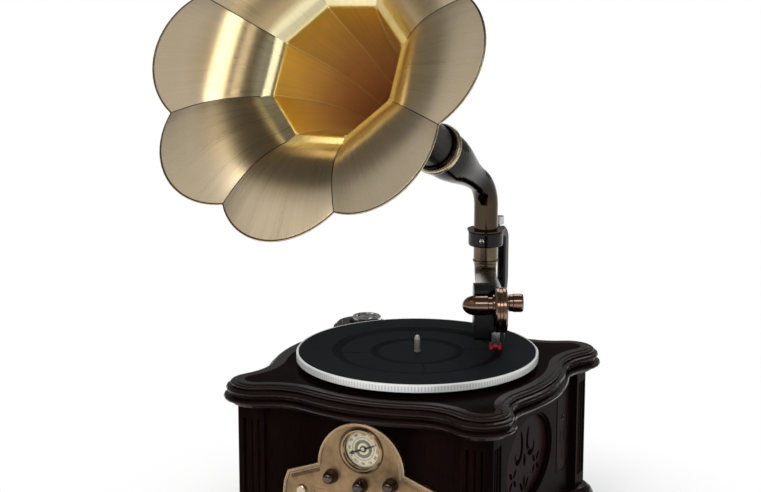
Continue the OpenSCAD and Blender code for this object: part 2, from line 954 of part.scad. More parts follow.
module drive_belt() {
    color(rubber)
        translate([0, 0, belt_z])
            rotate([0, 0, atan2(pulley_y, pulley_x)])
                difference() {
                    linear_extrude(belt_h)
                        polygon(belt_loop(belt_gap + belt_t));
                    translate([0, 0, -1])
                        linear_extrude(belt_h + 2)
                            polygon(belt_loop(belt_gap));
                }
}

module platter_bearing() {
    color(brass)
        difference() {
            union() {
                translate([0, 0, board_z - 14])
                    cylinder(d = bearing_d, h = board_t + 14);
                translate([0, 0, board_z - 5])
                    cylinder(d = bearing_d + 20, h = 5);
                translate([0, 0, deck_z])
                    cylinder(d = bearing_d - 2, h = 1.5);
            }
            translate([0, 0, board_z - 11])
                cylinder(d = axle_d + 2 * fit_run, h = board_t + 20);
        }
}

mat_r = platter_d / 2 - 3.6;

module platter() {
    color(chrome)
        rotate_extrude($fn = 180)
            polygon([[axle_d / 2, deck_z + 2], [13, deck_z + 2], [13, plate_top - web_t],
                [track_r - 4, plate_top - web_t], [track_r - 4, belt_z - 1], [track_r, belt_z - 1],
                [track_r, plate_top - web_t], [platter_d / 2 - 8, plate_top - web_t],
                [platter_d / 2 - 4, deck_z + platter_gap], [platter_d / 2 - 1, deck_z + platter_gap],
                [platter_d / 2, deck_z + platter_gap + 1], [platter_d / 2, mat_z - 1.5],
                [platter_d / 2 - 1, mat_z - 0.5], [mat_r + 1, mat_z - 0.5], [mat_r + 1, plate_top],
                [axle_d / 2, plate_top]]);
}

// The mat has a sunk label ring, a sunk single ring and four fine radial lines.
cove = 0.6 * mat_t;
label_dip = 0.75 * mat_t;

module platter_mat() {
    color(rubber)
        difference() {
            rotate_extrude($fn = 180)
                polygon([[axle_d / 2 + 0.3, plate_top], [mat_r, plate_top], [mat_r, mat_z - 0.4],
                    [mat_r - 1, mat_z], [107, mat_z], [105.5, mat_z - 0.2], [95, mat_z - cove],
                    [59, mat_z - cove + 0.2], [57, mat_z - cove], [48, mat_z - label_dip],
                    [axle_d / 2 + 0.3, mat_z - label_dip]]);
            for (a = [30, 120, 210, 300])
                rotate([0, 0, a])
                    translate([58.5, -0.7, mat_z - label_dip])
                        cube([36, 1.4, mat_t]);
        }
}

module spindle() {
    color(chrome)
        rotate_extrude()
            polygon([[0, board_z - 10.5], [axle_d / 2, board_z - 10.5], [axle_d / 2, mat_z - 1.2],
                [spindle_d / 2, mat_z - 1.2], [spindle_d / 2, mat_z + spindle_h - 5], [spindle_d / 2 - 0.7, mat_z + spindle_h - 2],
                [spindle_d / 4, mat_z + spindle_h - 0.4], [0, mat_z + spindle_h]]);
}

// The large-hole adapter rests on a peg behind the platter.
peg_x = -140;
peg_y = 150;
peg_sink = 8;
adapter_d = 38.2;
adapter_h = 6.5;

module adapter_peg() {
    color(chrome)
        translate([peg_x, peg_y, deck_z - peg_sink])
            cylinder(d = spindle_d, h = peg_sink + 4.5);
}

module adapter() {
    color(chrome)
        translate([peg_x, peg_y, deck_z + 0.3])
            difference() {
                rotate_extrude()
                    polygon([[spindle_d / 2 + 0.2, 0], [adapter_d / 2 - 0.6, 0], [adapter_d / 2, 0.6],
                        [adapter_d / 2, adapter_h - 1], [adapter_d / 2 - 1, adapter_h],
                        [adapter_d / 2 - 3, adapter_h], [adapter_d / 2 - 4, adapter_h - 1.5],
                        [8, adapter_h - 1.5], [7, adapter_h - 0.5], [spindle_d / 2 + 0.2, adapter_h - 0.5]]);
                for (i = [0 : 5])
                    rotate([0, 0, 60 * i])
                        translate([11.5, 0, -1])
                            cylinder(d = 4, h = adapter_h + 2, $fn = 24);
            }
}

// Bracket: a bar that leaves the back panel, swings back in an S and rises to the clamp ring.
ring_z = deck_z + ring_up;
link_z = ring_z + ring_h / 2 - 1;
column_y = pivot_y + column_back;
foot_plate_t = 6;
foot_plate_h = 90;
foot_plate_w = 56;
foot_y = face + foot_plate_t - 1 + bar_t / 2;
bend_r = 50;
bend_a = 60;
top_r = 14;
slant_l = (column_y - foot_y - 2 * bend_r * (1 - cos(bend_a))) / sin(bend_a);
s_top = deck_z + 46;
s_drop = 2 * bend_r * sin(bend_a) + slant_l * cos(bend_a);
s_low = s_top - s_drop;
bar_end = body_z + 36;

bar_edge = 2;
bar_outline = [for (q = [[1, 1], [-1, 1], [-1, -1], [1, -1]], k = [0, 1]) let (e = q[0] * q[1] > 0 ? k : 1 - k)
    [q[0] * (bar_t / 2 - e * bar_edge), q[1] * (bar_w / 2 - (1 - e) * bar_edge)]];

// The bar's route as [y, z, direction]: up the back, two bends, up the column and forward to the ring.
function bend_route(y, z, r, from, to, way, steps) =
    [for (i = [0 : steps]) let (a = from + (to - from) * i / steps) [y + r * cos(a), z + r * sin(a), a + way]];
route = concat([[foot_y, bar_end, 90]],
    bend_route(foot_y + bend_r, s_low, bend_r, 180, 180 - bend_a, -90, 8),
    bend_route(column_y - bend_r, s_top, bend_r, -bend_a, 0, 90, 8),
    bend_route(column_y - top_r, link_z - top_r, top_r, 0, 90, 90, 6),
    [[pivot_y + ring_r - 3, link_z, 180]]);
stations = len(route);
sides = len(bar_outline);
bar_points = [for (w = route, q = bar_outline) [q[1], w[0] - q[0] * sin(w[2]), w[1] + q[0] * cos(w[2])]];
bar_faces = concat(
    [[for (i = [0 : sides - 1]) i]],
    [for (j = [0 : stations - 2], i = [0 : sides - 1]) let (h = (i + 1) % sides)
        [j * sides + i, (j + 1) * sides + i, (j + 1) * sides + h, j * sides + h]],
    [[for (i = [sides - 1 : -1 : 0]) (stations - 1) * sides + i]]);

module back_bracket() {
    color(black)
        difference() {
            union() {
                translate([-foot_plate_w / 2, face, bar_end - 10])
                    cube([foot_plate_w, foot_plate_t, foot_plate_h]);
                polyhedron(points = bar_points, faces = bar_faces, convexity = 6);
            }
            translate([0, pivot_y, ring_z - 1])
                cylinder(r = ring_r, h = ring_h + 2);
            translate([0, column_y - top_r, link_z])
                cylinder(d = screw_d, h = bar_t);
        }
}

screw_d = 5;
head_d = 12;
head_h = 11;

module clamp_ring() {
    color(black)
        translate([0, pivot_y, ring_z])
            rotate_extrude()
                polygon([[tube_d / 2 + fit_run, 0], [ring_r - 2, 0], [ring_r - 0.6, 0.6], [ring_r, 2],
                    [ring_r, ring_h - 2], [ring_r - 0.6, ring_h - 0.6], [ring_r - 2, ring_h],
                    [tube_d / 2 + fit_run, ring_h]]);
}

module thumb_screw() {
    ribs = 20;
    color(chrome)
        translate([0, column_y - top_r, link_z + bar_t / 2 + 0.3])
            difference() {
                union() {
                    cylinder(d = head_d - 4, h = 2);
                    translate([0, 0, 2])
                        cylinder(d = head_d, h = head_h);
                    translate([0, 0, -bar_t / 2 + 1])
                        cylinder(d = screw_d - 2 * fit_run, h = bar_t / 2);
                }
                for (i = [0 : ribs - 1])
                    rotate([0, 0, i * 360 / ribs])
                        translate([head_d / 2 + 0.2, 0, 3])
                            cylinder(r = 0.7, h = head_h, $fn = 16);
            }
}

// Tone arm. Its own frame: x to the right, -y ahead, z up, at the upright axis.
module at_arm() {
    translate([0, pivot_y, 0])
        rotate([0, 0, arm_turn])
            children();
}

ball_z = mat_z + ball_up;
spigot_l = 16;
spigot_r = tube_d / 2 - 3;
sleeve_r = tube_d / 2;
arm_bend = 17;
arm_thick = 14.6;
arm_thin = 12;
head_z = mat_z + 59.5;
sound_z = mat_z + 49.5;
cross_z = mat_z + 55.5;
head_x = 5.5;
arm_low = ball_z - arm_bend;
arm_rise = atan((head_z - arm_low) / (arm_l - sound_r - arm_bend));
arm_len = (arm_l - arm_bend) / cos(arm_rise);

module arm_sleeve() {
    color(bronze)
        at_arm()
            rotate_extrude()
                polygon(concat([[sleeve_r, ball_z + 3], [sleeve_r + 1, ball_z + 4], [sleeve_r + 1, ball_z + 6],
                    [sleeve_r, ball_z + 7], [sleeve_r, ring_z - fit_slide], [spigot_r, ring_z - fit_slide],
                    [spigot_r, ring_z + spigot_l], [spigot_r - 3, ring_z + spigot_l],
                    [spigot_r - 3, ball_z + ball_r + 3], [6, ball_z + ball_r + 3]],
                    [for (i = [0 : 5]) let (a = 65 - 10.5 * i)
                        (ball_r + fit_slide) * [cos(a), sin(a)] + [0, ball_z]]));
}

module arm_solid(grow) {
    translate([0, -arm_bend, ball_z])
        rotate([-90, 0, 90])
            rotate_extrude(angle = 90 + arm_rise, $fn = 96)
                translate([arm_bend, 0])
                    circle(r = arm_thick + grow);
    translate([0, -arm_bend * (1 + sin(arm_rise)), ball_z - arm_bend * cos(arm_rise)])
        rotate([90 - arm_rise, 0, 0])
            translate([0, 0, -1])
                cylinder(h = arm_len, r1 = arm_thick + grow - 0.1, r2 = arm_thin + grow);
}

module arm_tube() {
    color(bronze)
        at_arm()
            difference() {
                union() {
                    translate([0, 0, ball_z])
                        sphere(r = ball_r);
                    arm_solid(0);
                }
                translate([-40, -arm_l, sound_z])
                    rotate([0, 90, 0])
                        cylinder(r = sound_r, h = 80, $fn = 96);
                translate([-40, -arm_l - 60, ball_z - 60])
                    cube([80, 62, 120]);
            }
}

module sound_disc() {
    color(bronze)
        at_arm()
            translate([head_x - sound_t / 2, -arm_l, sound_z])
                rotate([0, 90, 0])
                    rotate_extrude($fn = 96)
                        polygon([[0, 1], [sound_r - 7, 1], [sound_r - 5, 0], [sound_r - 2, 0], [sound_r, 2],
                            [sound_r, 5], [sound_r - 1, 6], [sound_r - 1, sound_t - 6], [sound_r, sound_t - 5],
                            [sound_r, sound_t - 2], [sound_r - 2, sound_t], [sound_r - 5, sound_t],
                            [sound_r - 7, sound_t - 1], [0, sound_t - 1]]);
}

dome_r = 12.4;
dome_l = 41;
collar_l = 10;

module end_dome() {
    translate([head_x - sound_t / 2 + 1, -arm_l, cross_z])
        rotate([0, -90, 0])
            rotate_extrude()
                polygon(concat([[0, 0], [dome_r + 1.6, 0], [dome_r + 1.6, 3], [dome_r - 1.4, 4],
                    [dome_r - 1.4, collar_l - 1], [dome_r, collar_l]],
                    [for (i = [0 : 7]) let (a = 90 * i / 7) [dome_r * cos(a), dome_l - 16 + 16 * sin(a)]]));
}

module side_stub() {
    translate([head_x + sound_t / 2 - 1, -arm_l, cross_z + 3])
        rotate([0, 90, 0])
            rotate_extrude()
                polygon([[0, 0], [9, 0], [9, 3], [10.6, 4], [10.6, 8], [11.4, 9], [11.4, 19], [10.4, 21],
                    [7, 21.6], [0, 21.6]]);
}

module end_caps() {
    color(bronze)
        at_arm() {
            end_dome();
            side_stub();
        }
}

shell_w = 25;
shell_l = 30;
shell_front = 5 - arm_l;

module head_shell() {
    color(black)
        at_arm()
            difference() {
                translate([head_x - sound_t / 2 - shell_w, 0, mat_z])
                    rotate([90, 0, 90])
                        linear_extrude(shell_w)
                            polygon([[shell_front + 3, 9], [shell_front + shell_l, 24],
                                [shell_front + shell_l, 70], [shell_front + shell_l - 6, 77],
                                [shell_front + 8, 78], [shell_front, 73], [shell_front, 12]]);
                arm_solid(fit_slide / 4);
                translate([head_x - sound_t / 2 - shell_w - 1, -arm_l, cross_z])
                    rotate([0, 90, 0])
                        cylinder(r = dome_r + 1.6, h = shell_w + 2);
            }
}

module cartridge() {
    color(chrome)
        at_arm()
            difference() {
                translate([-6, -arm_l - 12, mat_z + 7])
                    cube([10, 16, 18]);
                translate([-20, -arm_l, sound_z])
                    rotate([0, 90, 0])
                        cylinder(r = sound_r, h = 40, $fn = 96);
                translate([-3, -arm_l - 13, mat_z + 6])
                    cube([4, 5, 8]);
            }
}

module stylus() {
    color("#b3212b")
        at_arm()
            translate([-1, -arm_l, 0]) {
                difference() {
                    translate([-7, -12, mat_z + 2.5])
                        cube([14, 16, 4.5]);
                    translate([-3.5, -13, mat_z + 1])
                        cube([7, 10, 4]);
                }
                translate([0, -6, mat_z + needle_gap])
                    cylinder(r1 = 0.2, r2 = 0.8, h = 5);
            }
}

module finger_lift() {
    color(chrome)
        at_arm()
            difference() {
                translate([head_x + 4, -arm_l - 5, mat_z + 8])
                    cube([1.4, 10, 30]);
                translate([-20, -arm_l, sound_z])
                    rotate([0, 90, 0])
                        cylinder(r = sound_r, h = 40, $fn = 96);
            }
}

// Elbow and horn. Their own frame: -y ahead, z up, at the upright axis.
module at_elbow() {
    translate([0, pivot_y, 0])
        rotate([0, 0, -horn_turn])
            children();
}

// The horn's own frame: z runs along its axis to the mouth, from where it crosses the upright axis.
module at_horn() {
    at_elbow()
        translate([0, 0, cross_point])
            rotate([90 - horn_tilt, 0, 0])
                children();
}

cross_point = mat_z + horn_up;
elbow_r = 45;
elbow_turn = 90 - horn_tilt;
elbow_tangent = elbow_r * tan(elbow_turn / 2);
elbow_low = ring_z + 1;
wall = 2.6;
collar_r = 31;
socket_l = 26;

module elbow_path(r) {
    translate([0, 0, elbow_low])
        cylinder(r = r, h = cross_point - elbow_tangent - elbow_low);
    translate([0, -elbow_r, cross_point - elbow_tangent])
        rotate([90, 0, 90])
            rotate_extrude(angle = elbow_turn, $fn = 96)
                translate([elbow_r, 0])
                    circle(r = r);
}

flare_from = elbow_tangent;
flare_l = collar_at - socket_l - flare_from;
flare_lap = 1;
function flare(r1, r2, steps) = [for (i = [1 : steps]) let (t = i / steps)
    [r1 + (r2 - r1) * t * t * (3 - 2 * t), flare_from + flare_l * t]];

module elbow() {
    color(bronze)
        difference() {
            union() {
                at_elbow() {
                    elbow_path(tube_d / 2);
                    translate([0, 0, ring_z + ring_h + 0.3])
                        cylinder(r = ring_r + 1.6, h = 1.6);
                }
                at_horn()
                    rotate_extrude()
                        polygon(concat([[0, flare_from - flare_lap], [tube_d / 2 - wall / 2, flare_from - flare_lap],
                            [tube_d / 2 + 0.2, flare_from]], flare(tube_d / 2 + 0.2, collar_r, 12),
                            [[collar_r, collar_at - 10], [0, collar_at - 10]]));
            }
            at_elbow() {
                elbow_path(tube_d / 2 - wall);
                translate([0, 0, elbow_low - 1])
                    cylinder(r = tube_d / 2 - wall, h = 10);
            }
            at_horn()
                rotate_extrude()
                    polygon(concat([[0, flare_from - flare_lap],
                        [tube_d / 2 - wall - 1, flare_from - flare_lap], [tube_d / 2 - wall + 0.2, flare_from]],
                        flare(tube_d / 2 - wall + 0.2, neck_r - 3, 12),
                        [[neck_r + 0.4, collar_at - socket_l], [neck_r + 0.4, collar_at + 1],
                        [0, collar_at + 1]]));
        }
}

module elbow_collar() {
    color(bright_brass)
        at_horn()
            rotate_extrude()
                polygon(concat([[neck_r + 0.4, collar_at - 10], [collar_r, collar_at - 10]],
                    bead(collar_r, collar_at - 5, 3.4, 8),
                    [[collar_r, collar_at - 0.5], [neck_r + 0.4, collar_at - 0.5]]));
}

// Horn: a bowed funnel of flat sides, a crease with a ridge and a groove, and petals that flare out.
mouth_at = collar_at + bell_l;
funnel_rows = 9;
ledge_rows = 2;
petal_rows = 12;
cols = 8;
neck_in = socket_l - 2;
half_petal = 180 / petals;
function flat_side(s) = cos(half_petal) / cos(half_petal * s);
function funnel_point(t, s) =
    let (r = neck_r - sheet_t + (ridge_r - neck_r + sheet_t) * pow(t, 1.85), m = min(1, 3 * t))
    [r * (1 - m * (1 - flat_side(s))), (bell_l - ridge_back) * t - bell_l];
function ledge_point(t, s) =
    [(ridge_r + (crease_r - ridge_r) * t) * flat_side(s), (ridge_back - crease_back) * t - ridge_back];
function petal_point(x, s) =
    let (a = crease_r * flat_side(s), b = notch_r + (tip_r - notch_r) * (1 - s * s))
    [a + (b - a) * x, tip_ahead * (1 - s * s) * x * x - crease_back * pow(1 - x, 4)];
petals_from = funnel_rows + ledge_rows;
rows = petals_from + petal_rows;
function horn_point(j, s) = j <= funnel_rows ? funnel_point(j / funnel_rows, s)
    : j <= petals_from ? ledge_point((j - funnel_rows) / ledge_rows, s)
    : petal_point(pow((j - petals_from) / petal_rows, 1.15), s);
function sheet_at(j) = j >= rows - 1 ? sheet_t * 2 : sheet_t;
function horn_back(j, s) =
    let (a = horn_point(max(0, j - 0.5), s), b = horn_point(min(rows, j + 0.5), s), p = horn_point(j, s),
        d = j == 0 ? [0, 1] : b - a, n = norm(d))
    [p[0] + d[1] / n * sheet_at(j), p[1] - d[0] / n * sheet_at(j)];
function bow(z) = pow(sin(180 * max(0, min(1, -z / bell_l))), 2);
function on_ring(p, a) = [p[0] * cos(a) - bow_side * bow(p[1]), p[0] * sin(a) + bow_up * bow(p[1]),
    mouth_at + p[1]];
columns = petals * cols;
function column_s(i) = 2 * (i % cols) / cols - 1;
function column_a(i) = petal_turn + 90 + 360 * i / columns;
horn_front = [for (j = [0 : rows], i = [0 : columns - 1]) on_ring(horn_point(j, column_s(i)), column_a(i))];
horn_rear = [for (j = [0 : rows], i = [0 : columns - 1]) on_ring(horn_back(j, column_s(i)), column_a(i))];
function at(j, i) = j * columns + i % columns;
shift = len(horn_front);
horn_faces = concat(
    [for (j = [0 : rows - 1], i = [0 : columns - 1]) each [[at(j, i), at(j + 1, i + 1), at(j + 1, i)],
        [at(j, i), at(j, i + 1), at(j + 1, i + 1)]]],
    [for (j = [0 : rows - 1], i = [0 : columns - 1]) each [
        [shift + at(j, i), shift + at(j + 1, i), shift + at(j + 1, i + 1)],
        [shift + at(j, i), shift + at(j + 1, i + 1), shift + at(j, i + 1)]]],
    [for (i = [0 : columns - 1]) each [[at(rows, i), shift + at(rows, i + 1), shift + at(rows, i)],
        [at(rows, i), at(rows, i + 1), shift + at(rows, i + 1)]]],
    [for (i = [0 : columns - 1]) each [[at(0, i + 1), shift + at(0, i), shift + at(0, i + 1)],
        [at(0, i + 1), at(0, i), shift + at(0, i)]]]);

module horn() {
    color(brass)
        at_horn()
            polyhedron(points = concat(horn_front, horn_rear), faces = horn_faces, convexity = 8);
}

// The sleeve on the horn's neck, which sits in the elbow's socket.
module horn_ferrule() {
    color(bronze)
        at_horn()
            rotate_extrude()
                polygon([[neck_r - 3, collar_at - neck_in], [neck_r, collar_at - neck_in], [neck_r, collar_at],
                    [neck_r + 3, collar_at], [neck_r + 3.6, collar_at + 2], [neck_r + 3, collar_at + 4],
                    [neck_r + 0.9, collar_at + 5], [neck_r + 0.6, collar_at + 2], [neck_r + 0.1, collar_at],
                    [neck_r - 3, collar_at]]);
}

top_board();
top_moulding();
base_frame();
base_moulding();
corner_posts();
front_panel();
side_panels();
back_panel();
bottom_panel();
feet();
grille_frets();
grille_cloths();
speakers();
front_plate();
plate_border();
dial_bezel();
dial_face();
dial_glass();
control_pots();
socket_strip();
disc_drive();
circuit_board();
transformer();
mains_inlet();
line_sockets();
motor();
platter_bearing();
drive_belt();
back_bracket();
clamp_ring();
adapter_peg();
platter();
platter_mat();
spindle();
motor_pulley();
arm_sleeve();
arm_tube();
head_shell();
sound_disc();
end_caps();
cartridge();
stylus();
finger_lift();
elbow();
elbow_collar();
horn();
horn_ferrule();
thumb_screw();
volume_knob();
mode_knob();
tuning_knob();
dial_pointer();
left_button();
right_button();
back_key();
play_key();
next_key();
disc_tray();
tray_front();
adapter();
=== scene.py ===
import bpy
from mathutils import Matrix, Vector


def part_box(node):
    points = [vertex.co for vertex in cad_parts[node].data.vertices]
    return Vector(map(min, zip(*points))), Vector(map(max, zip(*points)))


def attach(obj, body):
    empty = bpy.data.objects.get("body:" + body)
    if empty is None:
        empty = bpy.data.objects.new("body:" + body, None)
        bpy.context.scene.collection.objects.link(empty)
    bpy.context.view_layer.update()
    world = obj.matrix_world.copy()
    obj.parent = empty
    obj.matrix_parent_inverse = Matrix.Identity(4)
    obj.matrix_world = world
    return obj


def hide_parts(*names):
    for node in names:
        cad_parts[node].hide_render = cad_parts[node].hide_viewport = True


bl_info = {
    "name": "Petal Horn Gramophone",
    "version": (1, 0, 0),
    "blender": (4, 5, 0),
    "location": "3D View > Sidebar > Gramophone",
    "description": "Dresses the packed gramophone with its finishes, its fine trim and a plain studio",
    "category": "Object",
}

import math

import bpy
from mathutils import Matrix, Vector

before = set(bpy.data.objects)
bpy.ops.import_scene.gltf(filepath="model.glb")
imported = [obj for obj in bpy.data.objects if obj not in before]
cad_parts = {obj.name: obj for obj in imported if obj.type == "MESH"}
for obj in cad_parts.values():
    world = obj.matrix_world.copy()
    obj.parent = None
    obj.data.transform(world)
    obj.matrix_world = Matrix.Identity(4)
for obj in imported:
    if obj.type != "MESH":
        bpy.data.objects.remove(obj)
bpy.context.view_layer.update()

# Sizes that the trim shares with the solids, in metres and degrees.
DECK_Z = 0.236  # top of the wooden body
MAT_Z = 0.252  # top of the turntable's mat
PIVOT = (0.0, 0.224)  # upright axis of the elbow
HORN_TILT = 29.0  # of the horn's axis, above level
HORN_TURN = -8.8  # of the horn's axis, round the pivot
HORN_CROSS = 0.418  # height at which the horn's axis crosses the pivot
MOUTH_AT = 0.445  # way along the horn's axis to its mouth
PETALS = 8
PETAL_TURN = 25.9
FRONT_Y = -0.1627  # face of the front plate
DIAL_Z = 0.1705  # height of the dial's middle


# ---- shading helpers

WHITE = (1.0, 1.0, 1.0)
# The run of values that a noise mostly has.
NOISE_LOW, NOISE_HIGH = 0.3, 0.7


class Tree:
    """A node tree with short calls that add and link its nodes."""

    def __init__(self, tree):
        self.tree = tree

    def add(self, kind, links=(), **settings):
        node = self.tree.nodes.new(kind)
        for key, value in settings.items():
            setattr(node, key, value)
        for socket, value in dict(links).items():
            self.feed(node.inputs[socket], value)
        return node

    def feed(self, socket, value):
        """Links an output to a socket, or sets the socket to a value."""
        if isinstance(value, bpy.types.NodeSocket):
            self.tree.links.new(value, socket)
        elif socket.type == "RGBA" and len(value) == 3:
            socket.default_value = (*value, 1.0)
        else:
            socket.default_value = value

    def math(self, operation, a, b=0.0, c=0.0, clamp=False):
        return self.add("ShaderNodeMath", {0: a, 1: b, 2: c}, operation=operation, use_clamp=clamp).outputs[0]

    def vector(self, operation, a, b=(0.0, 0.0, 0.0)):
        outputs = self.add("ShaderNodeVectorMath", {0: a, 1: b}, operation=operation).outputs
        return outputs["Value"] if operation in ("LENGTH", "DOT_PRODUCT") else outputs[0]

    def blend(self, factor, a, b):
        return self.add("ShaderNodeMix", {0: factor, 6: a, 7: b}, data_type="RGBA").outputs[2]

    def spread(self, value, low, high, to_low=0.0, to_high=1.0):
        """The value, moved from the run low to high over to another run, and held within it."""
        return self.add("ShaderNodeMapRange", {0: value, 1: low, 2: high, 3: to_low, 4: to_high}).outputs[0]

    def vary(self, noise, low=0.0, high=1.0):
        """The values that a noise mostly has, spread from low to high."""
        return self.spread(noise, NOISE_LOW, NOISE_HIGH, low, high)

    def noise(self, coords, scale, detail=4.0, rough=0.6):
        links = {"Vector": coords, "Scale": scale, "Detail": detail, "Roughness": rough}
        return self.add("ShaderNodeTexNoise", links).outputs[0]

    def turned(self, coords, turn):
        return self.add("ShaderNodeMapping", {"Vector": coords, "Rotation": turn}).outputs[0]

    def stretched(self, coords, run):
        """The vector, with its X made longer by a share run."""
        along = self.add("ShaderNodeCombineXYZ", {0: run, 1: 1.0, 2: 1.0}).outputs[0]
        return self.vector("MULTIPLY", coords, along)

    def parts(self, coords):
        """The X, Y and Z of a vector, as outputs."""
        return self.add("ShaderNodeSeparateXYZ", {0: coords}).outputs

    def radius(self, coords):
        """Distance from the Z axis."""
        return self.vector("LENGTH", self.vector("MULTIPLY", coords, (1.0, 1.0, 0.0)))


EFFECTS = {}
FINISHES = {}


def effect(key, name, settings, results):
    """Adds a shader node group that takes a vector and some values; gives its tree and its sockets."""
    group = EFFECTS[key] = bpy.data.node_groups.new(name, "ShaderNodeTree")
    group.interface.new_socket("Vector", in_out="INPUT", socket_type="NodeSocketVector")
    for label, value in settings.items():
        socket = group.interface.new_socket(label, in_out="INPUT", socket_type="NodeSocketFloat")
        socket.default_value = value
    for label in results:
        group.interface.new_socket(label, in_out="OUTPUT", socket_type="NodeSocketFloat")
    t = Tree(group)
    return t, t.add("NodeGroupInput").outputs, t.add("NodeGroupOutput").inputs


def make_wood_effect():
    """Long pores and soft figure that run along the vector's X."""
    t, given, out = effect(
        "wood", "Wood figure", {"Figure": 12.0, "Pores": 900.0, "Run": 0.04}, ("Tone", "Pore", "Height")
    )
    along = t.stretched(given["Vector"], given["Run"])
    figure = t.noise(along, given["Figure"], 6.0)
    pore = t.spread(t.noise(along, given["Pores"], 3.0), 0.5, 0.68)
    t.feed(out["Tone"], figure)
    t.feed(out["Pore"], pore)
    t.feed(out["Height"], t.math("MULTIPLY_ADD", figure, 0.4, t.math("MULTIPLY", pore, -0.6)))


def make_brush_effect():
    """Fine brushed lines that run along the vector's X."""
    t, given, out = effect("brush", "Brushed lines", {"Lines": 400.0, "Run": 0.01}, ("Tone", "Height"))
    along = t.stretched(given["Vector"], given["Run"])
    fine = t.noise(along, given["Lines"], 4.0, 0.65)
    broad = t.noise(along, t.math("MULTIPLY", given["Lines"], 0.12), 3.0)
    t.feed(out["Tone"], t.math("MULTIPLY_ADD", fine, 0.6, t.math("MULTIPLY", broad, 0.4)))
    t.feed(out["Height"], fine)


def make_tarnish_effect():
    """Cloudy darkening of old metal, with fine specks."""
    t, given, out = effect("tarnish", "Tarnish", {"Size": 18.0, "Amount": 0.5}, ("Mask", "Height"))
    clouds = t.noise(given["Vector"], given["Size"], 6.0, 0.62)
    t.feed(out["Mask"], t.math("MULTIPLY", t.spread(clouds, 0.38, 0.7), given["Amount"]))
    t.feed(out["Height"], t.noise(given["Vector"], t.math("MULTIPLY", given["Size"], 22.0), 2.0, 0.5))


def make_wear_effect():
    """Mask of the outer edges, from the difference between the rounded and the true normal."""
    t, given, out = effect("wear", "Edge wear", {"Width": 0.001, "Breakup": 60.0}, ("Mask",))
    rounded = t.add("ShaderNodeBevel", {"Radius": given["Width"]}, samples=4).outputs[0]
    true = t.add("ShaderNodeNewGeometry").outputs["Normal"]
    sharp = t.math("SUBTRACT", 1.0, t.vector("DOT_PRODUCT", rounded, true))
    patchy = t.spread(t.noise(given["Vector"], given["Breakup"], 3.0), 0.35, 0.65)
    t.feed(out["Mask"], t.math("MULTIPLY", t.spread(sharp, 0.02, 0.2), patchy, clamp=True))


class Finish(Tree):
    """A material in the making: its tree, its Principled shader and object coordinates."""

    def __init__(self, name, colour, roughness, metallic=0.0, **sockets):
        self.material = bpy.data.materials.new(name)
        self.material.use_nodes = True
        super().__init__(self.material.node_tree)
        self.shader = self.tree.nodes["Principled BSDF"]
        self.coords = self.add("ShaderNodeTexCoord").outputs["Object"]
        self.set("Base Color", colour)
        self.set("Roughness", roughness)
        self.set("Metallic", metallic)
        for label, value in sockets.items():
            self.set(label.replace("_", " "), value)

    def set(self, label, value):
        self.feed(self.shader.inputs[label], value)

    def use(self, key, **sockets):
        """The outputs of a shared effect."""
        return self.add("ShaderNodeGroup", node_tree=EFFECTS[key], links=sockets).outputs

    def bump(self, height, strength, distance=0.0002):
        node = self.add("ShaderNodeBump", {"Height": height, "Strength": strength, "Distance": distance})
        self.set("Normal", node.outputs[0])

    def paint(self, *names):
        """Puts this finish on solids of the frame."""
        for name in names:
            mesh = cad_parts[name].data
            for i in range(len(mesh.materials)):
                mesh.materials[i] = self.material


# ---- mesh helpers


def put(obj):
    bpy.context.scene.collection.objects.link(obj)
    return obj


def solid(name, shape, finish, body="cabinet", smooth=True):
    """A new piece from its points and faces, riding on a body of the frame."""
    points, faces = shape
    mesh = bpy.data.meshes.new(name)
    mesh.from_pydata([tuple(p) for p in points], [], faces)
    mesh.validate()
    mesh.update()
    obj = put(bpy.data.objects.new(name, mesh))
    mesh.materials.append(FINISHES[finish].material)
    for polygon in mesh.polygons:
        polygon.use_smooth = smooth
    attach(obj, body)
    return obj


def polar(r, a, z=0.0):
    """The point at a radius, an angle and a height."""
    return Vector((r * math.cos(a), r * math.sin(a), z))


def bands(rows, steps, closed=False):
    """Faces between rows of points that each go once round; a closed set ends at its first row."""
    faces = []
    for j in range(rows if closed else rows - 1):
        a, b = j * steps, (j + 1) % rows * steps
        faces += [(a + i, a + (i + 1) % steps, b + (i + 1) % steps, b + i) for i in range(steps)]
    return faces


def tube(path, radius, sides, closed):
    """Points and faces of a round tube along a path."""
    count = len(path)
    points = []
    for i, p in enumerate(path):
        before = path[(i - 1) % count] if closed or i > 0 else p
        after = path[(i + 1) % count] if closed or i < count - 1 else p
        way = (after - before).normalized()
        side = way.cross(Vector((0.21, 0.34, 0.92))).normalized()
        up = side.cross(way)
        for k in range(sides):
            x, y, _ = polar(radius, 2 * math.pi * k / sides)
            points.append(p + x * side + y * up)
    faces = bands(count, sides, closed)
    if not closed:
        ends = tuple(range(count * sides))
        faces += [ends[:sides][::-1], ends[-sides:]]
    return points, faces


def lathe(place, profile, steps):
    """Points and faces of a closed profile of (radius, height) turned about Z."""
    points, faces = [], []
    size = len(profile)
    for i in range(steps):
        points += [place @ polar(r, 2 * math.pi * i / steps, z) for r, z in profile]
    for i in range(steps):
        j = (i + 1) % steps
        for k in range(size):
            m = (k + 1) % size
            faces.append((i * size + k, j * size + k, j * size + m, i * size + m))
    return points, faces


def gather(chunks):
    """Joins (points, faces) pairs into one."""
    points, faces = [], []
    for some_points, some_faces in chunks:
        start = len(points)
        points += some_points
        faces += [tuple(start + i for i in face) for face in some_faces]
    return points, faces


# ---- finishes


def times(colour, share):
    return tuple(share * c for c in colour)


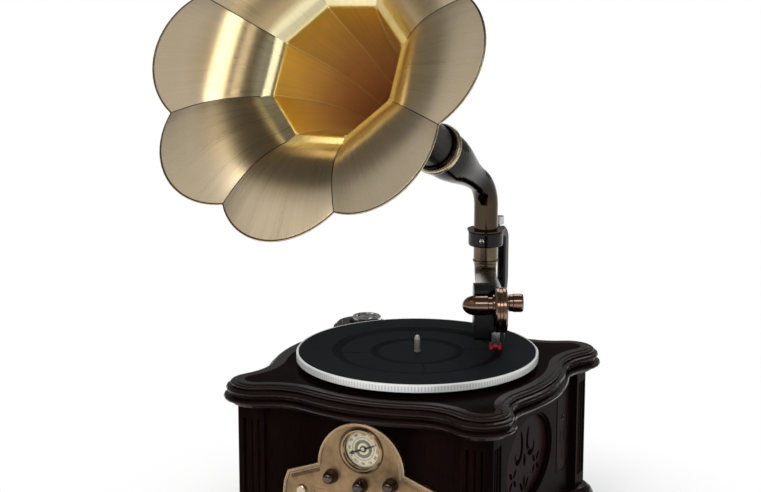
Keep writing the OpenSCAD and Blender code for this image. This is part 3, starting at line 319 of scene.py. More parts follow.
def make_finishes(colours):
    """Makes the effects and every finish that a solid or a new piece has."""
    for make in (make_wood_effect, make_brush_effect, make_tarnish_effect, make_wear_effect):
        make()

    # Key, name, share of the dark and of the light tone, turn of the grain, gloss, roughness.
    level, upright = (0.0, 0.0, 0.0), (0.0, math.pi / 2, 0.0)
    for key, name, dark, light, grain, gloss, rough in (
        ("wood_flat", "Dark wood, level", 1.0, 1.0, level, 0.005, 0.2),
        ("wood_edge", "Dark wood, mouldings", 1.0, 1.0, level, 0.26, 0.17),
        ("wood_upright", "Dark wood, upright", 1.0, 1.0, upright, 0.005, 0.2),
        ("wood_fret", "Stained wood of the fretwork", 3.0, 2.4, upright, 0.008, 0.2),
    ):
        tones = times(colours.wood_dark, dark), times(colours.wood_light, light)
        FINISHES[key] = wood_finish(name, *tones, grain, gloss, rough)

    # Key, name, colour, roughness, tarnish, fineness of the rubbed lines.
    for key, name, colour, rough, tarnish, lines in (
        ("plate", "Antique brass plate", colours.plate_brass, 0.36, 1.0, 220.0),
        ("border", "Plate border", times(colours.plate_brass, 1.15), 0.2, 0.8, 220.0),
        ("bright", "Rubbed brass", colours.bright_brass, 0.26, 0.3, 300.0),
        # The funnel seams are coloured with the crease's painted-highlight gold.
        ("seam", "Funnel seam", colours.horn_crease_highlight, 0.3, 0.2, 300.0),
        # Dark lap is also the painted shade of the ring round the dial's bezel and, in part, of the petal
        # laps.
        ("lap", "Dark lap", (0.1, 0.08, 0.05), 0.3, 0.3, 300.0),
        ("bronze", "Polished bronze", colours.arm_bronze, 0.24, 0.5, 160.0),
        ("copper", "Copper bronze", colours.head_copper, 0.17, 0.4, 160.0),
        ("ferrule", "Black bronze", colours.elbow_bronze, 0.1, 0.3, 160.0),
        ("knob", "Dark antique knob", colours.knob_bronze, 0.2, 0.7, 260.0),
        ("chrome", "Bright steel", (0.72, 0.72, 0.71), 0.14, 0.1, 500.0),
        ("satin", "Satin steel", (0.85, 0.84, 0.8), 0.4, 0.1, 500.0),
        ("steel", "Plain steel", (0.42, 0.42, 0.43), 0.4, 0.2, 300.0),
    ):
        FINISHES[key] = metal_finish(name, colour, rough, tarnish, lines)

    # Key, name, colour, roughness, fineness and depth of the grain, gloss.
    for key, name, colour, rough, grain, depth, gloss in (
        ("black_metal", "Black enamel", (0.002, 0.002, 0.003), 0.14, 260.0, 0.03, 0.25),
        ("black", "Black moulding", (0.004, 0.004, 0.005), 0.3, 900.0, 0.06, 0.3),
        ("rubber", "Rubber", (0.009, 0.011, 0.012), 0.42, 1400.0, 0.1, 0.06),
        ("board", "Black board", (0.015, 0.012, 0.011), 0.8, 420.0, 0.3, 0.3),
        ("paper", "Cream dial", colours.dial_cream, 0.6, 700.0, 0.05, 0.3),
        ("shade", "Grey dial ring", (0.27, 0.23, 0.16), 0.5, 700.0, 0.05, 0.3),
        ("print", "Black print", (0.02, 0.02, 0.022), 0.45, 700.0, 0.05, 0.3),
        ("green", "Green board", (0.03, 0.16, 0.07), 0.4, 300.0, 0.1, 0.3),
        ("red", "Red stylus", (0.62, 0.02, 0.04), 0.25, 500.0, 0.05, 0.3),
    ):
        FINISHES[key] = plain_finish(name, colour, rough, grain, depth, gloss)

    glass = Finish("Clear glass", WHITE, 0.03, Transmission_Weight=1.0, IOR=1.2)
    FINISHES.update(elbow=elbow_finish(colours), rim=rim_finish(), mat=mat_finish(), cloth=cloth_finish())
    FINISHES.update(horn=horn_finish(colours), horn_back=horn_back_finish(colours), glass=glass)


# Heights between which the elbow's bronze turns from rubbed brown to black.
RUBBED_TO, BLACK_FROM = 0.393, 0.425


def elbow_finish(colours):
    """Black bronze that is rubbed to brown below the bend."""
    f = Finish("Rubbed black bronze", colours.elbow_bronze, 0.12, 1.0)
    below = f.spread(f.parts(f.coords)["Z"], RUBBED_TO, BLACK_FROM, 1.0, 0.0)
    patches = f.spread(f.noise(f.coords, 22.0), 0.5, 0.8, 0.0, 0.25)
    rubbed = f.math("ADD", below, patches)
    f.set("Base Color", f.blend(rubbed, colours.elbow_bronze, times(colours.arm_bronze, 0.4)))
    f.set("Roughness", f.vary(f.noise(f.coords, 60.0), 0.09, 0.17))
    f.bump(f.noise(f.coords, 160.0, 3.0), 0.03)
    return f


# The lacquer mirrors a warm brown rather than white.
LACQUER_TINT = (1.0, 0.74, 0.68, 1.0)


def wood_finish(name, dark, light, grain, gloss, rough):
    """Near-black stained, open-pored wood under a satin lacquer."""
    f = Finish(name, dark, rough, Specular_IOR_Level=gloss, Specular_Tint=LACQUER_TINT)
    figure = f.use("wood", Vector=f.turned(f.coords, grain))
    colour = f.blend(f.spread(figure["Tone"], 0.35, 0.7), dark, light)
    colour = f.blend(f.math("MULTIPLY", figure["Pore"], 0.7), colour, times(dark, 0.4))
    worn = f.use("wear", Vector=f.coords, Width=0.0014)
    colour = f.blend(f.math("MULTIPLY", worn["Mask"], 0.5), colour, times(light, 3.0))
    f.set("Base Color", colour)
    f.set("Roughness", f.vary(figure["Tone"], 0.8 * rough, 1.3 * rough))
    f.bump(figure["Height"], 0.16, 0.0003)
    return f


# Hollows of the mat, as inner and outer radius; painted shade darkens the rubber across them.
MAT_SHADED_HOLLOWS = ((0.048, 0.058), (0.094, 0.1055))


def mat_finish():
    """Black rubber mat, with painted shade in the hollows round the label and half-way out."""
    f = Finish("Rubber mat", (0.008, 0.01, 0.011), 0.42, Specular_IOR_Level=0.015)
    radius = f.radius(f.coords)
    hollow_shade = 0.0
    for inner, outer in MAT_SHADED_HOLLOWS:
        band = f.math("MULTIPLY", f.math("GREATER_THAN", radius, inner), f.math("LESS_THAN", radius, outer))
        hollow_shade = f.math("ADD", band, hollow_shade)
    fine = f.noise(f.coords, 1400.0, 3.0)
    broad = f.noise(f.coords, 9.0)
    rubber = f.blend(f.vary(broad), (0.006, 0.0075, 0.0085), (0.01, 0.012, 0.0135))
    # Painted shade: across the hollows the rubber turns near black.
    f.set("Base Color", f.blend(hollow_shade, rubber, (0.001, 0.001, 0.0012)))
    f.set("Roughness", f.vary(broad, 0.36, 0.46))
    f.bump(fine, 0.1)
    return f


# Marks of the platter's rim: their number, the dark share of each, and where they lie.
RIM_MARKS = 240
RIM_MARK_SHARE = 0.42
RIM_MARK_R = 0.1492
RIM_MARK_LOW, RIM_MARK_HIGH = DECK_Z + 0.0075, MAT_Z - 0.0024


def rim_finish():
    """Bright turned rim with fine marks around its edge."""
    bright = (0.9, 0.9, 0.89)
    f = Finish("Marked platter rim", bright, 0.25, 0.3)
    where = f.parts(f.coords)
    turn = f.math("ARCTAN2", where["Y"], where["X"])
    beat = f.math("FRACT", f.math("MULTIPLY", turn, RIM_MARKS / (2 * math.pi)))
    mark = f.math("LESS_THAN", beat, RIM_MARK_SHARE)
    side = f.math("GREATER_THAN", f.radius(f.coords), RIM_MARK_R)
    low = f.math("GREATER_THAN", where["Z"], RIM_MARK_LOW)
    high = f.math("LESS_THAN", where["Z"], RIM_MARK_HIGH)
    mask = f.math("MULTIPLY", f.math("MULTIPLY", mark, side), f.math("MULTIPLY", low, high))
    old = f.use("tarnish", Vector=f.coords, Size=30.0, Amount=0.12)
    metal = f.blend(old["Mask"], bright, (0.6, 0.6, 0.6))
    f.set("Base Color", f.blend(f.math("MULTIPLY", mask, 0.75), metal, (0.3, 0.3, 0.31)))
    f.set("Roughness", f.spread(f.math("ADD", mask, old["Mask"]), 0.0, 1.0, 0.18, 0.5))
    f.bump(f.math("MULTIPLY_ADD", mask, -1.0, old["Height"]), 0.15)
    return f


def metal_finish(name, colour, rough, tarnish, lines):
    """Metal with tarnish in clouds and fine rubbed lines."""
    f = Finish(name, colour, rough, 1.0)
    old = f.use("tarnish", Vector=f.coords, Size=22.0, Amount=tarnish)
    rubbed = f.use("brush", Vector=f.coords, Lines=lines, Run=0.2)
    worn = f.use("wear", Vector=f.coords, Width=0.0008)
    metal = f.blend(old["Mask"], colour, times(colour, 0.35))
    brighter = tuple(min(1.0, c) for c in times(colour, 1.5))
    f.set("Base Color", f.blend(f.math("MULTIPLY", worn["Mask"], 0.5), metal, brighter))
    f.set("Roughness", f.vary(rubbed["Tone"], 0.8 * rough, 1.3 * rough))
    f.bump(f.math("MULTIPLY_ADD", old["Height"], 0.4, rubbed["Height"]), 0.06)
    return f


def plain_finish(name, colour, rough, grain, depth, gloss):
    """Moulded, painted or printed surface with a fine grain."""
    f = Finish(name, colour, rough, Specular_IOR_Level=gloss)
    fine = f.noise(f.coords, grain, 3.0)
    broad = f.noise(f.coords, 14.0)
    f.set("Base Color", f.blend(f.vary(broad), times(colour, 0.8), colour))
    f.set("Roughness", f.vary(broad, 0.9 * rough, 1.12 * rough))
    f.bump(fine, depth)
    return f


def cloth_finish():
    """Black loudspeaker cloth."""
    f = Finish("Speaker cloth", (0.01, 0.01, 0.01), 0.9)
    threads = [
        f.add("ShaderNodeTexWave", {"Vector": f.coords, "Scale": 260.0}, bands_direction=way).outputs["Fac"]
        for way in "YZ"
    ]
    weave = f.math("MULTIPLY", *threads)
    f.set("Base Color", f.blend(weave, (0.006, 0.006, 0.006), (0.03, 0.028, 0.026)))
    f.bump(weave, 0.4, 0.0004)
    return f


# ---- horn


def horn_frame():
    """From the horn's own frame, with Z along its axis, to the object's."""
    return (
        Matrix.Translation((*PIVOT, HORN_CROSS))
        @ Matrix.Rotation(math.radians(HORN_TURN), 4, "Z")
        @ Matrix.Rotation(math.radians(90 - HORN_TILT), 4, "X")
    )


# Sizes of the horn: radii, and depths behind its mouth.
NOTCH_R, TIP_R, TIP_AHEAD = 0.1987, 0.225, 0.007  # rim at a seam and at a petal's tip
CREASE_R, CREASE_BACK = 0.1, 0.042  # foot of the petals
RIDGE_R, RIDGE_BACK = 0.087, 0.051  # corner where the funnel begins
NECK_R, NECK_BACK = 0.028, 0.3
SHEET = 0.0012
BOW_UP, BOW_SIDE = 0.012, 0.0045  # bend of the funnel half-way down
FUNNEL_STEPS, LEDGE_STEPS, PETAL_STEPS = 40, 9, 48
FUNNEL_SEAM_ROW = 6
RIDGE_ROW = FUNNEL_STEPS
CREASE_ROW = FUNNEL_STEPS + LEDGE_STEPS
PETAL_COLUMNS, RIM_COLUMNS = 20, 24
# Powers that shape the profile: spacing and flare of the funnel, spacing and curve of the petals.
FUNNEL_EASE, FUNNEL_FLARE = 1.6, 1.85
PETAL_EASE, PETAL_CURVE = 1.3, 4
# The ridge and the crease are rounded by averaging near them.
ROUND_PASSES, ROUND_ROWS = 5, 4
WIRE_R, WIRE_IN, WIRE_BACK = 0.0012, 0.0014, 0.0009
# Tubes along the seams: how far they are lifted off the sheet, and their radius.
RIDGE_TUBE, LAP_TUBE = (0.0003, 0.0011), (-0.00005, 0.00065)
HORN_BRUSH = {"Lines": 110.0, "Run": 0.03}
BRUSH_TURNS = 8.0


def flat_side(s):
    """Radius of a straight side of the eight at a place s, as a share of its corner's."""
    half = math.pi / PETALS
    return math.cos(half) / math.cos(half * s)


def horn_profile(s):
    """Points (radius, depth) from the neck to the rim at a place s across a petal, from -1 to 1."""
    start = NECK_R - SHEET
    line = []
    for i in range(FUNNEL_STEPS):
        t = 1 - (1 - i / FUNNEL_STEPS) ** FUNNEL_EASE
        r = start + (RIDGE_R - start) * t**FUNNEL_FLARE
        flat = min(1.0, 3 * t) * (1 - flat_side(s))
        line.append((r * (1 - flat), (NECK_BACK - RIDGE_BACK) * t - NECK_BACK))
    for i in range(LEDGE_STEPS):
        t = i / LEDGE_STEPS
        r = RIDGE_R + (CREASE_R - RIDGE_R) * t
        line.append((r * flat_side(s), (RIDGE_BACK - CREASE_BACK) * t - RIDGE_BACK))
    out = 1 - s * s
    inner, outer = CREASE_R * flat_side(s), NOTCH_R + (TIP_R - NOTCH_R) * out
    straight = CREASE_R * flat_side(0.0)
    for i in range(PETAL_STEPS + 1):
        x = (i / PETAL_STEPS) ** PETAL_EASE
        r = inner + (outer - inner) * x
        along = min(1.0, (r * math.cos(s * math.pi / PETALS) - straight) / (TIP_R - straight))
        line.append((r, TIP_AHEAD * out * x * x - CREASE_BACK * (1 - along) ** PETAL_CURVE))
    for _ in range(ROUND_PASSES):
        line = [
            tuple(0.25 * a + 0.5 * b + 0.25 * c for a, b, c in zip(line[i - 1], p, line[i + 1]))
            if RIDGE_ROW - ROUND_ROWS <= i <= CREASE_ROW + ROUND_ROWS else p
            for i, p in enumerate(line)
        ]
    return line


def slope(line, j):
    """The direction (radius, depth) of a profile at one of its points, of length one."""
    (r1, z1), (r2, z2) = line[max(0, j - 1)], line[min(len(line) - 1, j + 1)]
    n = math.hypot(r2 - r1, z2 - z1)
    return (r2 - r1) / n, (z2 - z1) / n


def round_horn(i, count):
    """The angle at step i of count round the horn, starting at a seam."""
    return math.radians(PETAL_TURN + 90 + 360 * i / count)


def bowed(r, z, a):
    """A point of the horn in its own frame, with the funnel's slight bow."""
    swell = math.sin(math.pi * max(0.0, min(1.0, -z / NECK_BACK))) ** 2
    return polar(r, a, MOUTH_AT + z) + swell * Vector((-BOW_SIDE, BOW_UP, 0.0))


def horn_finish(colours):
    """Radially brushed brass: beige at the petals' edges, olive gold inside, a painted highlight along the
    crease and copper in the throat.
    """
    f = Finish("Brushed horn brass", colours.horn_gold, 0.3, 1.0, Anisotropic=0.75)
    uv = f.add("ShaderNodeUVMap", uv_map="Brush").outputs[0]
    lines = f.use("brush", Vector=uv, **HORN_BRUSH)
    outwards = f.parts(uv)["X"]
    ramp = f.add("ShaderNodeValToRGB", {0: outwards})
    # Share of the way from the neck to the rim, and the colour there; the pale stops on the crease are a
    # painted highlight.
    first, *between, last = (
        (0.0, colours.horn_throat), (0.25, colours.horn_throat), (0.45, colours.horn_copper),
        (0.6, colours.horn_gold), (0.63, colours.horn_crease_highlight), (0.665, colours.horn_crease_highlight),
        (0.69, colours.horn_olive), (0.8, colours.horn_olive),
        (0.9, colours.horn_pale), (1.0, colours.horn_pale),
    )
    stops = ramp.color_ramp.elements
    for stop, (position, colour) in zip(stops, (first, last)):
        stop.position, stop.color = position, (*colour, 1.0)
    for position, colour in between:
        stops.new(position).color = (*colour, 1.0)
    tone = f.vary(lines["Tone"], 0.84, 1.08)
    streaked = f.add("ShaderNodeVectorMath", {0: ramp.outputs[0], 3: tone}, operation="SCALE").outputs[0]
    old = f.use("tarnish", Vector=f.coords, Size=9.0, Amount=0.25)
    f.set("Base Color", f.blend(old["Mask"], streaked, colours.horn_olive))
    funnel = f.spread(outwards, 0.3, 0.62, 0.22, 0.0)
    f.set("Roughness", f.math("ADD", funnel, f.vary(lines["Tone"], 0.24, 0.36)))
    f.set("Anisotropic Rotation", 0.25)
    f.set("Tangent", f.add("ShaderNodeTangent", direction_type="UV_MAP", uv_map="Brush").outputs[0])
    f.bump(lines["Height"], 0.07, 0.0003)
    return f


def horn_back_finish(colours):
    """Outside of the horn: plain brass that turns black bronze towards the neck."""
    f = Finish("Outside of the horn", colours.horn_olive, 0.3, 1.0)
    uv = f.add("ShaderNodeUVMap", uv_map="Brush").outputs[0]
    lines = f.use("brush", Vector=uv, **HORN_BRUSH)
    old = f.use("tarnish", Vector=f.coords, Size=14.0, Amount=0.5)
    brass = f.blend(old["Mask"], colours.horn_pale, colours.horn_olive)
    f.set("Base Color", f.blend(f.spread(f.parts(uv)["X"], 0.16, 0.42), colours.elbow_bronze, brass))
    f.set("Roughness", f.vary(lines["Tone"], 0.2, 0.36))
    f.bump(lines["Height"], 0.07, 0.0003)
    return f


def lay_brush_lines(mesh, profile, count, columns):
    """UV map of the horn: outwards along its profile, and round it."""
    lengths = [0.0]
    for p, q in zip(profile, profile[1:]):
        lengths.append(lengths[-1] + math.hypot(q[0] - p[0], q[1] - p[1]))
    uv = mesh.uv_layers.new(name="Brush")
    for polygon in mesh.polygons:
        ids = [i % count for i in polygon.vertices]
        cols = [i % columns for i in ids]
        wraps = max(cols) - min(cols) > columns / 2
        for loop, vertex, col in zip(polygon.loop_indices, ids, cols):
            turned = col + columns if wraps and col < columns / 2 else col
            uv.data[loop].uv = (lengths[vertex // columns] / lengths[-1], BRUSH_TURNS * turned / columns)


def make_horn():
    """The sheet of the horn, with its petals, crease and funnel in smooth curves."""
    place = horn_frame()
    columns = PETALS * PETAL_COLUMNS
    profiles = [horn_profile(2 * i / PETAL_COLUMNS - 1) for i in range(PETAL_COLUMNS)]
    rows = len(profiles[0])
    front, back = [], []
    for j in range(rows):
        for i in range(columns):
            line = profiles[i % PETAL_COLUMNS]
            a = round_horn(i, columns)
            r, z = line[j]
            out, ahead = slope(line, j)
            front.append(place @ bowed(r, z, a))
            back.append(place @ bowed(r + ahead * SHEET, z - out * SHEET, a))
    count = len(front)
    faces = []
    for a, b, c, d in bands(rows, columns):
        faces.append((a, b, c, d))
        faces.append((count + a, count + d, count + c, count + b))
    last = (rows - 1) * columns
    for i in range(columns):
        m = (i + 1) % columns
        faces.append((last + i, last + m, count + last + m, count + last + i))
        faces.append((m, i, count + i, count + m))
    obj = solid("horn_sheet", (front + back, faces), "horn", "horn")
    mesh = obj.data
    mesh.materials.append(FINISHES["horn_back"].material)
    for polygon in mesh.polygons:
        polygon.material_index = int(all(v >= count for v in polygon.vertices))
    lay_brush_lines(mesh, profiles[PETAL_COLUMNS // 2], count, columns)
    for edge in mesh.edges:
        a, b = (v % count % columns for v in edge.vertices)
        edge.use_edge_sharp = a == b and a % PETAL_COLUMNS == 0
    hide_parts("horn")


def seam_tubes(first, last, lift, radius):
    """Round tubes along the eight seams, from one row of the sheet to another, lifted off it."""
    place = horn_frame()
    line = horn_profile(-1.0)
    tubes = []
    for k in range(PETALS):
        path = []
        for j in range(first, last + 1):
            (r, z), (out, ahead) = line[j], slope(line, j)
            path.append(place @ bowed(r - lift * ahead, z + lift * out, round_horn(k, PETALS)))
        tubes.append(tube(path, radius, 6, False))
    return gather(tubes)


def make_horn_seams():
    """Folded seams: bright ridges in the funnel, and dark lines on the laps between the petals, partly the
    joint and partly painted shade under the overlapping edge.
    """
    ridges = seam_tubes(FUNNEL_SEAM_ROW, RIDGE_ROW - 1, *RIDGE_TUBE)
    solid("horn_funnel_seams", ridges, "seam", "horn")
    # Partly painted shade: the dark lap line also stands for the shadow under each overlapping petal edge.
    laps = seam_tubes(CREASE_ROW, CREASE_ROW + PETAL_STEPS, *LAP_TUBE)
    solid("horn_petal_seams", laps, "lap", "horn")


def make_horn_rim():
    """The rolled wire along the petals' edges, moved in to stay inside the horn's size."""
    place = horn_frame()
    columns = PETALS * RIM_COLUMNS
    path = []
    for i in range(columns):
        r, z = horn_profile(2 * (i % RIM_COLUMNS) / RIM_COLUMNS - 1)[-1]
        path.append(place @ bowed(r - WIRE_IN, z - WIRE_BACK, round_horn(i, columns)))
    solid("horn_rim_wire", tube(path, WIRE_R, 8, True), "lap", "horn")


# ---- trim of the front, the top and the back


def facing_front(x, z, y=FRONT_Y):
    """Places a shape that was made in its own XY plane on the front, with its Z towards the viewer."""
    return Matrix.Translation((x, y, z)) @ Matrix.Rotation(math.pi / 2, 4, "X")


def block(place, size, centre=(0.0, 0.0, 0.0)):
    """Points and faces of a block with chamfered top edges."""
    x, y, z = (0.5 * v for v in size)
    cx, cy, cz = centre
    e = 0.2 * min(size)
    points = [
        place @ Vector((cx + a * u, cy + b * v, cz + w))
        for u, v, w in ((x, y, -z), (x, y, z - e), (x - e, y - e, z))
        for a, b in ((1, 1), (-1, 1), (-1, -1), (1, -1))
    ]
    return points, [(3, 2, 1, 0), (8, 9, 10, 11), *bands(3, 4)]


def ring(place, inner, outer, height, steps=72):
    """Points and faces of a flat ring with a softly rounded top."""
    e = min(0.25 * (outer - inner), 0.5 * height)
    bottom = [(inner, 0.0), (outer, 0.0)]
    top = [(outer, height - e), (outer - e, height), (inner + e, height), (inner, height - e)]
    return lathe(place, bottom + top, steps)


def dome(place, radius, height, steps=16, rows=4):
    """Points and faces of a low dome."""
    points = []
    for j in range(rows):
        up = 0.5 * math.pi * j / rows
        r, z = radius * math.cos(up), height * math.sin(up)
        points += [place @ polar(r, 2 * math.pi * i / steps, z) for i in range(steps)]
    points.append(place @ Vector((0.0, 0.0, height)))
    top = (rows - 1) * steps
    faces = bands(rows, steps) + [(top + i, top + (i + 1) % steps, rows * steps) for i in range(steps)]
    faces.append(tuple(range(steps))[::-1])
    return points, faces


DIAL_FACE_Y = -0.1565
PRINT_HEIGHT = 0.00016
DIAL_MARKS, LONG_MARK_EVERY = 72, 6
DIAL_MARKS_R = 0.0142
LONG_MARK, SHORT_MARK = (0.0022, 0.00035), (0.0012, 0.00022)
# Printed circles, as inner and outer radius, and grey rings, with their height too.
DIAL_LINES = ((0.0143, 0.0146), (0.0214, 0.0217), (0.0109, 0.0113), (0.0073, 0.0077))
DIAL_SHADES = ((0.0078, 0.0108, 0.00012), (0.0030, 0.0044, 0.0003))
DIAL_NUMBERS = "54 60 70 80 100 120 140 160 88 92 96 104".split()
FIRST_NUMBER_AT = 210
NUMBERS_R, NUMBER_SIZE, NUMBER_LIFT = 0.0179, 0.0046, 0.00006
POINTER_AHEAD = 0.0018
POINTER_CAP = (0.0028, 0.0012)  # radius and height


def number_print(text, place):
    """Points and faces of a printed number, in the built-in font."""
    curve = bpy.data.curves.new("number", "FONT")
    curve.body, curve.size, curve.extrude = text, NUMBER_SIZE, PRINT_HEIGHT / 2
    curve.align_x, curve.align_y = "CENTER", "CENTER"
    source = bpy.data.objects.new("number", curve)
    flat = bpy.data.meshes.new_from_object(source)
    points = [place @ v.co for v in flat.vertices]
    faces = [tuple(p.vertices) for p in flat.polygons]
    bpy.data.objects.remove(source)
    bpy.data.meshes.remove(flat)
    bpy.data.curves.remove(curve)
    return points, faces


def make_dial():
    """Scale, numbers and rings of the radio dial, and the cap of its pointer."""
    place = facing_front(0.0, DIAL_Z, DIAL_FACE_Y)
    scale = []
    for i in range(DIAL_MARKS):
        length, width = SHORT_MARK if i % LONG_MARK_EVERY else LONG_MARK
        turned = place @ Matrix.Rotation(2 * math.pi * i / DIAL_MARKS, 4, "Z")
        middle = (DIAL_MARKS_R - length / 2, 0, PRINT_HEIGHT / 2)
        scale.append(block(turned, (length, width, PRINT_HEIGHT), middle))
    for inner, outer in DIAL_LINES:
        scale.append(ring(place, inner, outer, PRINT_HEIGHT))
    solid("dial_scale", gather(scale), "print", smooth=False)
    shades = [ring(place, *size) for size in DIAL_SHADES]
    solid("dial_rings", gather(shades), "shade")
    numbers = []
    for i, text in enumerate(DIAL_NUMBERS):
        a = math.radians(FIRST_NUMBER_AT - 360 / len(DIAL_NUMBERS) * i)
        spot = Matrix.Translation(polar(NUMBERS_R, a, NUMBER_LIFT))
        numbers.append(number_print(text, place @ spot @ Matrix.Rotation(a - math.pi / 2, 4, "Z")))
    solid("dial_numbers", gather(numbers), "print", smooth=False)
    hub = facing_front(0.0, DIAL_Z, DIAL_FACE_Y - POINTER_AHEAD)
    solid("pointer_cap", dome(hub, *POINTER_CAP), "bright", "pointer")


# The front plate: its arch, and the outline of a wing from the bottom up, from the arch's middle.
ARCH_Z = 0.1475
ARCH_R = 0.0565
ARCH_STEPS = 30
WING = ((0.078, -0.082), (0.096, -0.078), (0.103, -0.062), (0.104, -0.044), (0.102, -0.028), (0.097, -0.0145))
WING_TOP = (0.0425, 0.0051)
WING_SHOULDER = -0.02
EDGE_AHEAD, EDGE_IN, EDGE_R = 0.0012, 0.0008, 0.0006
# Rows on the wings: how many, how far in from the edge, and their start and run along it.
BEADS, BEADS_IN, BEADS_FROM, BEADS_RUN = 22, 0.0052, 0.27, 0.71
RIBS, RIBS_IN, RIBS_FROM, RIBS_RUN = 34, 0.0088, 0.29, 0.68
BEAD = (0.0008, 0.0007)  # radius and height
RIB_WIDE, RIB_LONG = 0.0006, 0.0042
ARCH_LINES, ARCH_LINE_R = (0.0495, 0.0513), 0.0003
ARCH_LINE_STEPS, ARCH_LINE_FROM, ARCH_LINE_TURN = 48, -8, 98
# Dark ring round the dial's bezel, which is painted shade: inner radius, outer radius and height.
DIAL_SHADE_RING = (0.0277, 0.0293, 0.0003)


def wing_edge(k, share, inset):
    """A point on a wing's sloping upper edge, from the arch outwards, and its direction; k is the side."""
    low = Vector((k * WING[-1][0], ARCH_Z + WING[-1][1]))
    high = Vector((k * WING_TOP[0], ARCH_Z + WING_TOP[1]))
    way = (low - high).normalized()
    down = Vector((way.y, -way.x)) * k
    return high.lerp(low, share) + down * inset, way


def make_plate_trim():
    """Beads and ribs on the wings and a pair of engraved lines in the arch."""
    beads, ribs = [], []
    for k in (-1, 1):
        for i in range(BEADS):
            (x, z), _ = wing_edge(k, BEADS_FROM + BEADS_RUN * i / (BEADS - 1), BEADS_IN)
            beads.append(dome(facing_front(x, z), *BEAD, 10, 3))
        for i in range(RIBS):
            (x, z), way = wing_edge(k, RIBS_FROM + RIBS_RUN * i / (RIBS - 1), RIBS_IN)
            turned = facing_front(x, z) @ Matrix.Rotation(math.atan2(way.y, way.x), 4, "Z")
            ribs.append(block(turned, (RIB_WIDE, RIB_LONG, RIB_WIDE), (0, 0, RIB_WIDE / 2)))
    solid("plate_beads", gather(beads), "bright")
    solid("plate_ribs", gather(ribs), "plate", smooth=False)
    lines = []
    for radius in ARCH_LINES:
        path = []
        for i in range(ARCH_LINE_STEPS + 1):
            a = math.radians(ARCH_LINE_FROM + ARCH_LINE_TURN * i / ARCH_LINE_STEPS)
            path.append(Vector((radius * math.cos(a), FRONT_Y, ARCH_Z + radius * math.sin(a))))
        lines.append(tube(path, ARCH_LINE_R, 6, False))
    solid("plate_lines", gather(lines), "bright")


def plate_edge(inset):
    """Points along the front plate's outline, which is an arch between two wings."""
    radius = ARCH_R - inset
    right = [(x - inset, z - (inset if z > WING_SHOULDER else 0.0)) for x, z in WING]
    left = [(-x, z) for x, z in reversed(right)]
    arch = [
        (radius * math.cos(math.pi * i / ARCH_STEPS), radius * math.sin(math.pi * i / ARCH_STEPS))
        for i in range(ARCH_STEPS + 1)
    ]
    return [Vector((x, FRONT_Y - EDGE_AHEAD, ARCH_Z + z)) for x, z in right + arch + left]


def make_plate_edge():
    """Round bright line along the border's bevel, and a dark ring round the dial's bezel that is painted
    shade.
    """
    line = tube(plate_edge(EDGE_IN), EDGE_R, 8, True)
    solid("plate_edge", line, "bright")
    # Painted shade: a flat dark ring stands for the shadow between the bezel and the plate.
    shade_ring = ring(facing_front(0.0, DIAL_Z), *DIAL_SHADE_RING)
    solid("dial_shade_ring", shade_ring, "lap")


KNOB_STEPS, KNOB_ROWS, KNOB_FOOT = 120, 12, 0.0042
FLUTES, FLUTE_DEPTH = 20, 0.045


def knob_profile(radius, length):
    """A knob from its foot to its top, as (radius, height, share of the fluting)."""
    profile = [
        (radius - 0.001, 0.0, 0.0), (radius, 0.001, 0.0),
        (radius, 0.0032, 0.0), (radius - 0.0012, 0.0038, 0.0),
    ]
    for i in range(KNOB_ROWS + 1):
        up = 0.5 * math.pi * i / KNOB_ROWS
        share = math.cos(up) ** 0.5
        reach = max((radius - 0.0013) * share, 0.0002)
        profile.append((reach, KNOB_FOOT + (length - KNOB_FOOT) * math.sin(up), share))
    return profile


def make_knobs():
    """Domed and fluted caps of the three control knobs."""
    for name in ("volume", "mode", "tuning"):
        node = name + "_knob"
        low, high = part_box(node)
        place = facing_front((low.x + high.x) / 2, (low.z + high.z) / 2, high.y)
        profile = knob_profile((high.x - low.x) / 2, high.y - low.y)
        points = []
        for r, z, share in profile:
            for i in range(KNOB_STEPS):
                a = 2 * math.pi * i / KNOB_STEPS
                cut = 1 - FLUTE_DEPTH * share * max(0.0, math.cos(FLUTES * a))
                points.append(place @ polar(r * cut, a, z))
        foot = tuple(range(KNOB_STEPS))
        top = tuple((len(profile) - 1) * KNOB_STEPS + i for i in foot)
        shape = points, [*bands(len(profile), KNOB_STEPS), foot[::-1], top]
        obj = solid(node + "_cap", shape, "knob", name + "_control")
        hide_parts(node)


def screw_head(place, radius, height):
    """A slotted screw head, as a low dome and a bar that shows its cut; the bar's black is painted shade."""
    head = dome(place, radius, height, 24, 3)
    cut = block(place, (1.7 * radius, 0.22 * radius, 0.0003), (0, 0, height))
    return head, cut


SET_SCREW_TURN = -81  # round the pivot
CLAMP_R, CLAMP_Z = 0.0229, 0.348
BRACKET_SCREWS_X, BRACKET_SCREWS_Z = (-0.018, 0.018), (0.1, 0.15)
BACK_Y = 0.165
JACK_AT = (0.1582, 0.097, 0.157)
# Radius and height of the heads; inner radius, outer radius and height of the jack's ring.
SET_SCREW, BRACKET_SCREW, JACK_RING = (0.0034, 0.0016), (0.0042, 0.0018), (0.0019, 0.0034, 0.0009)


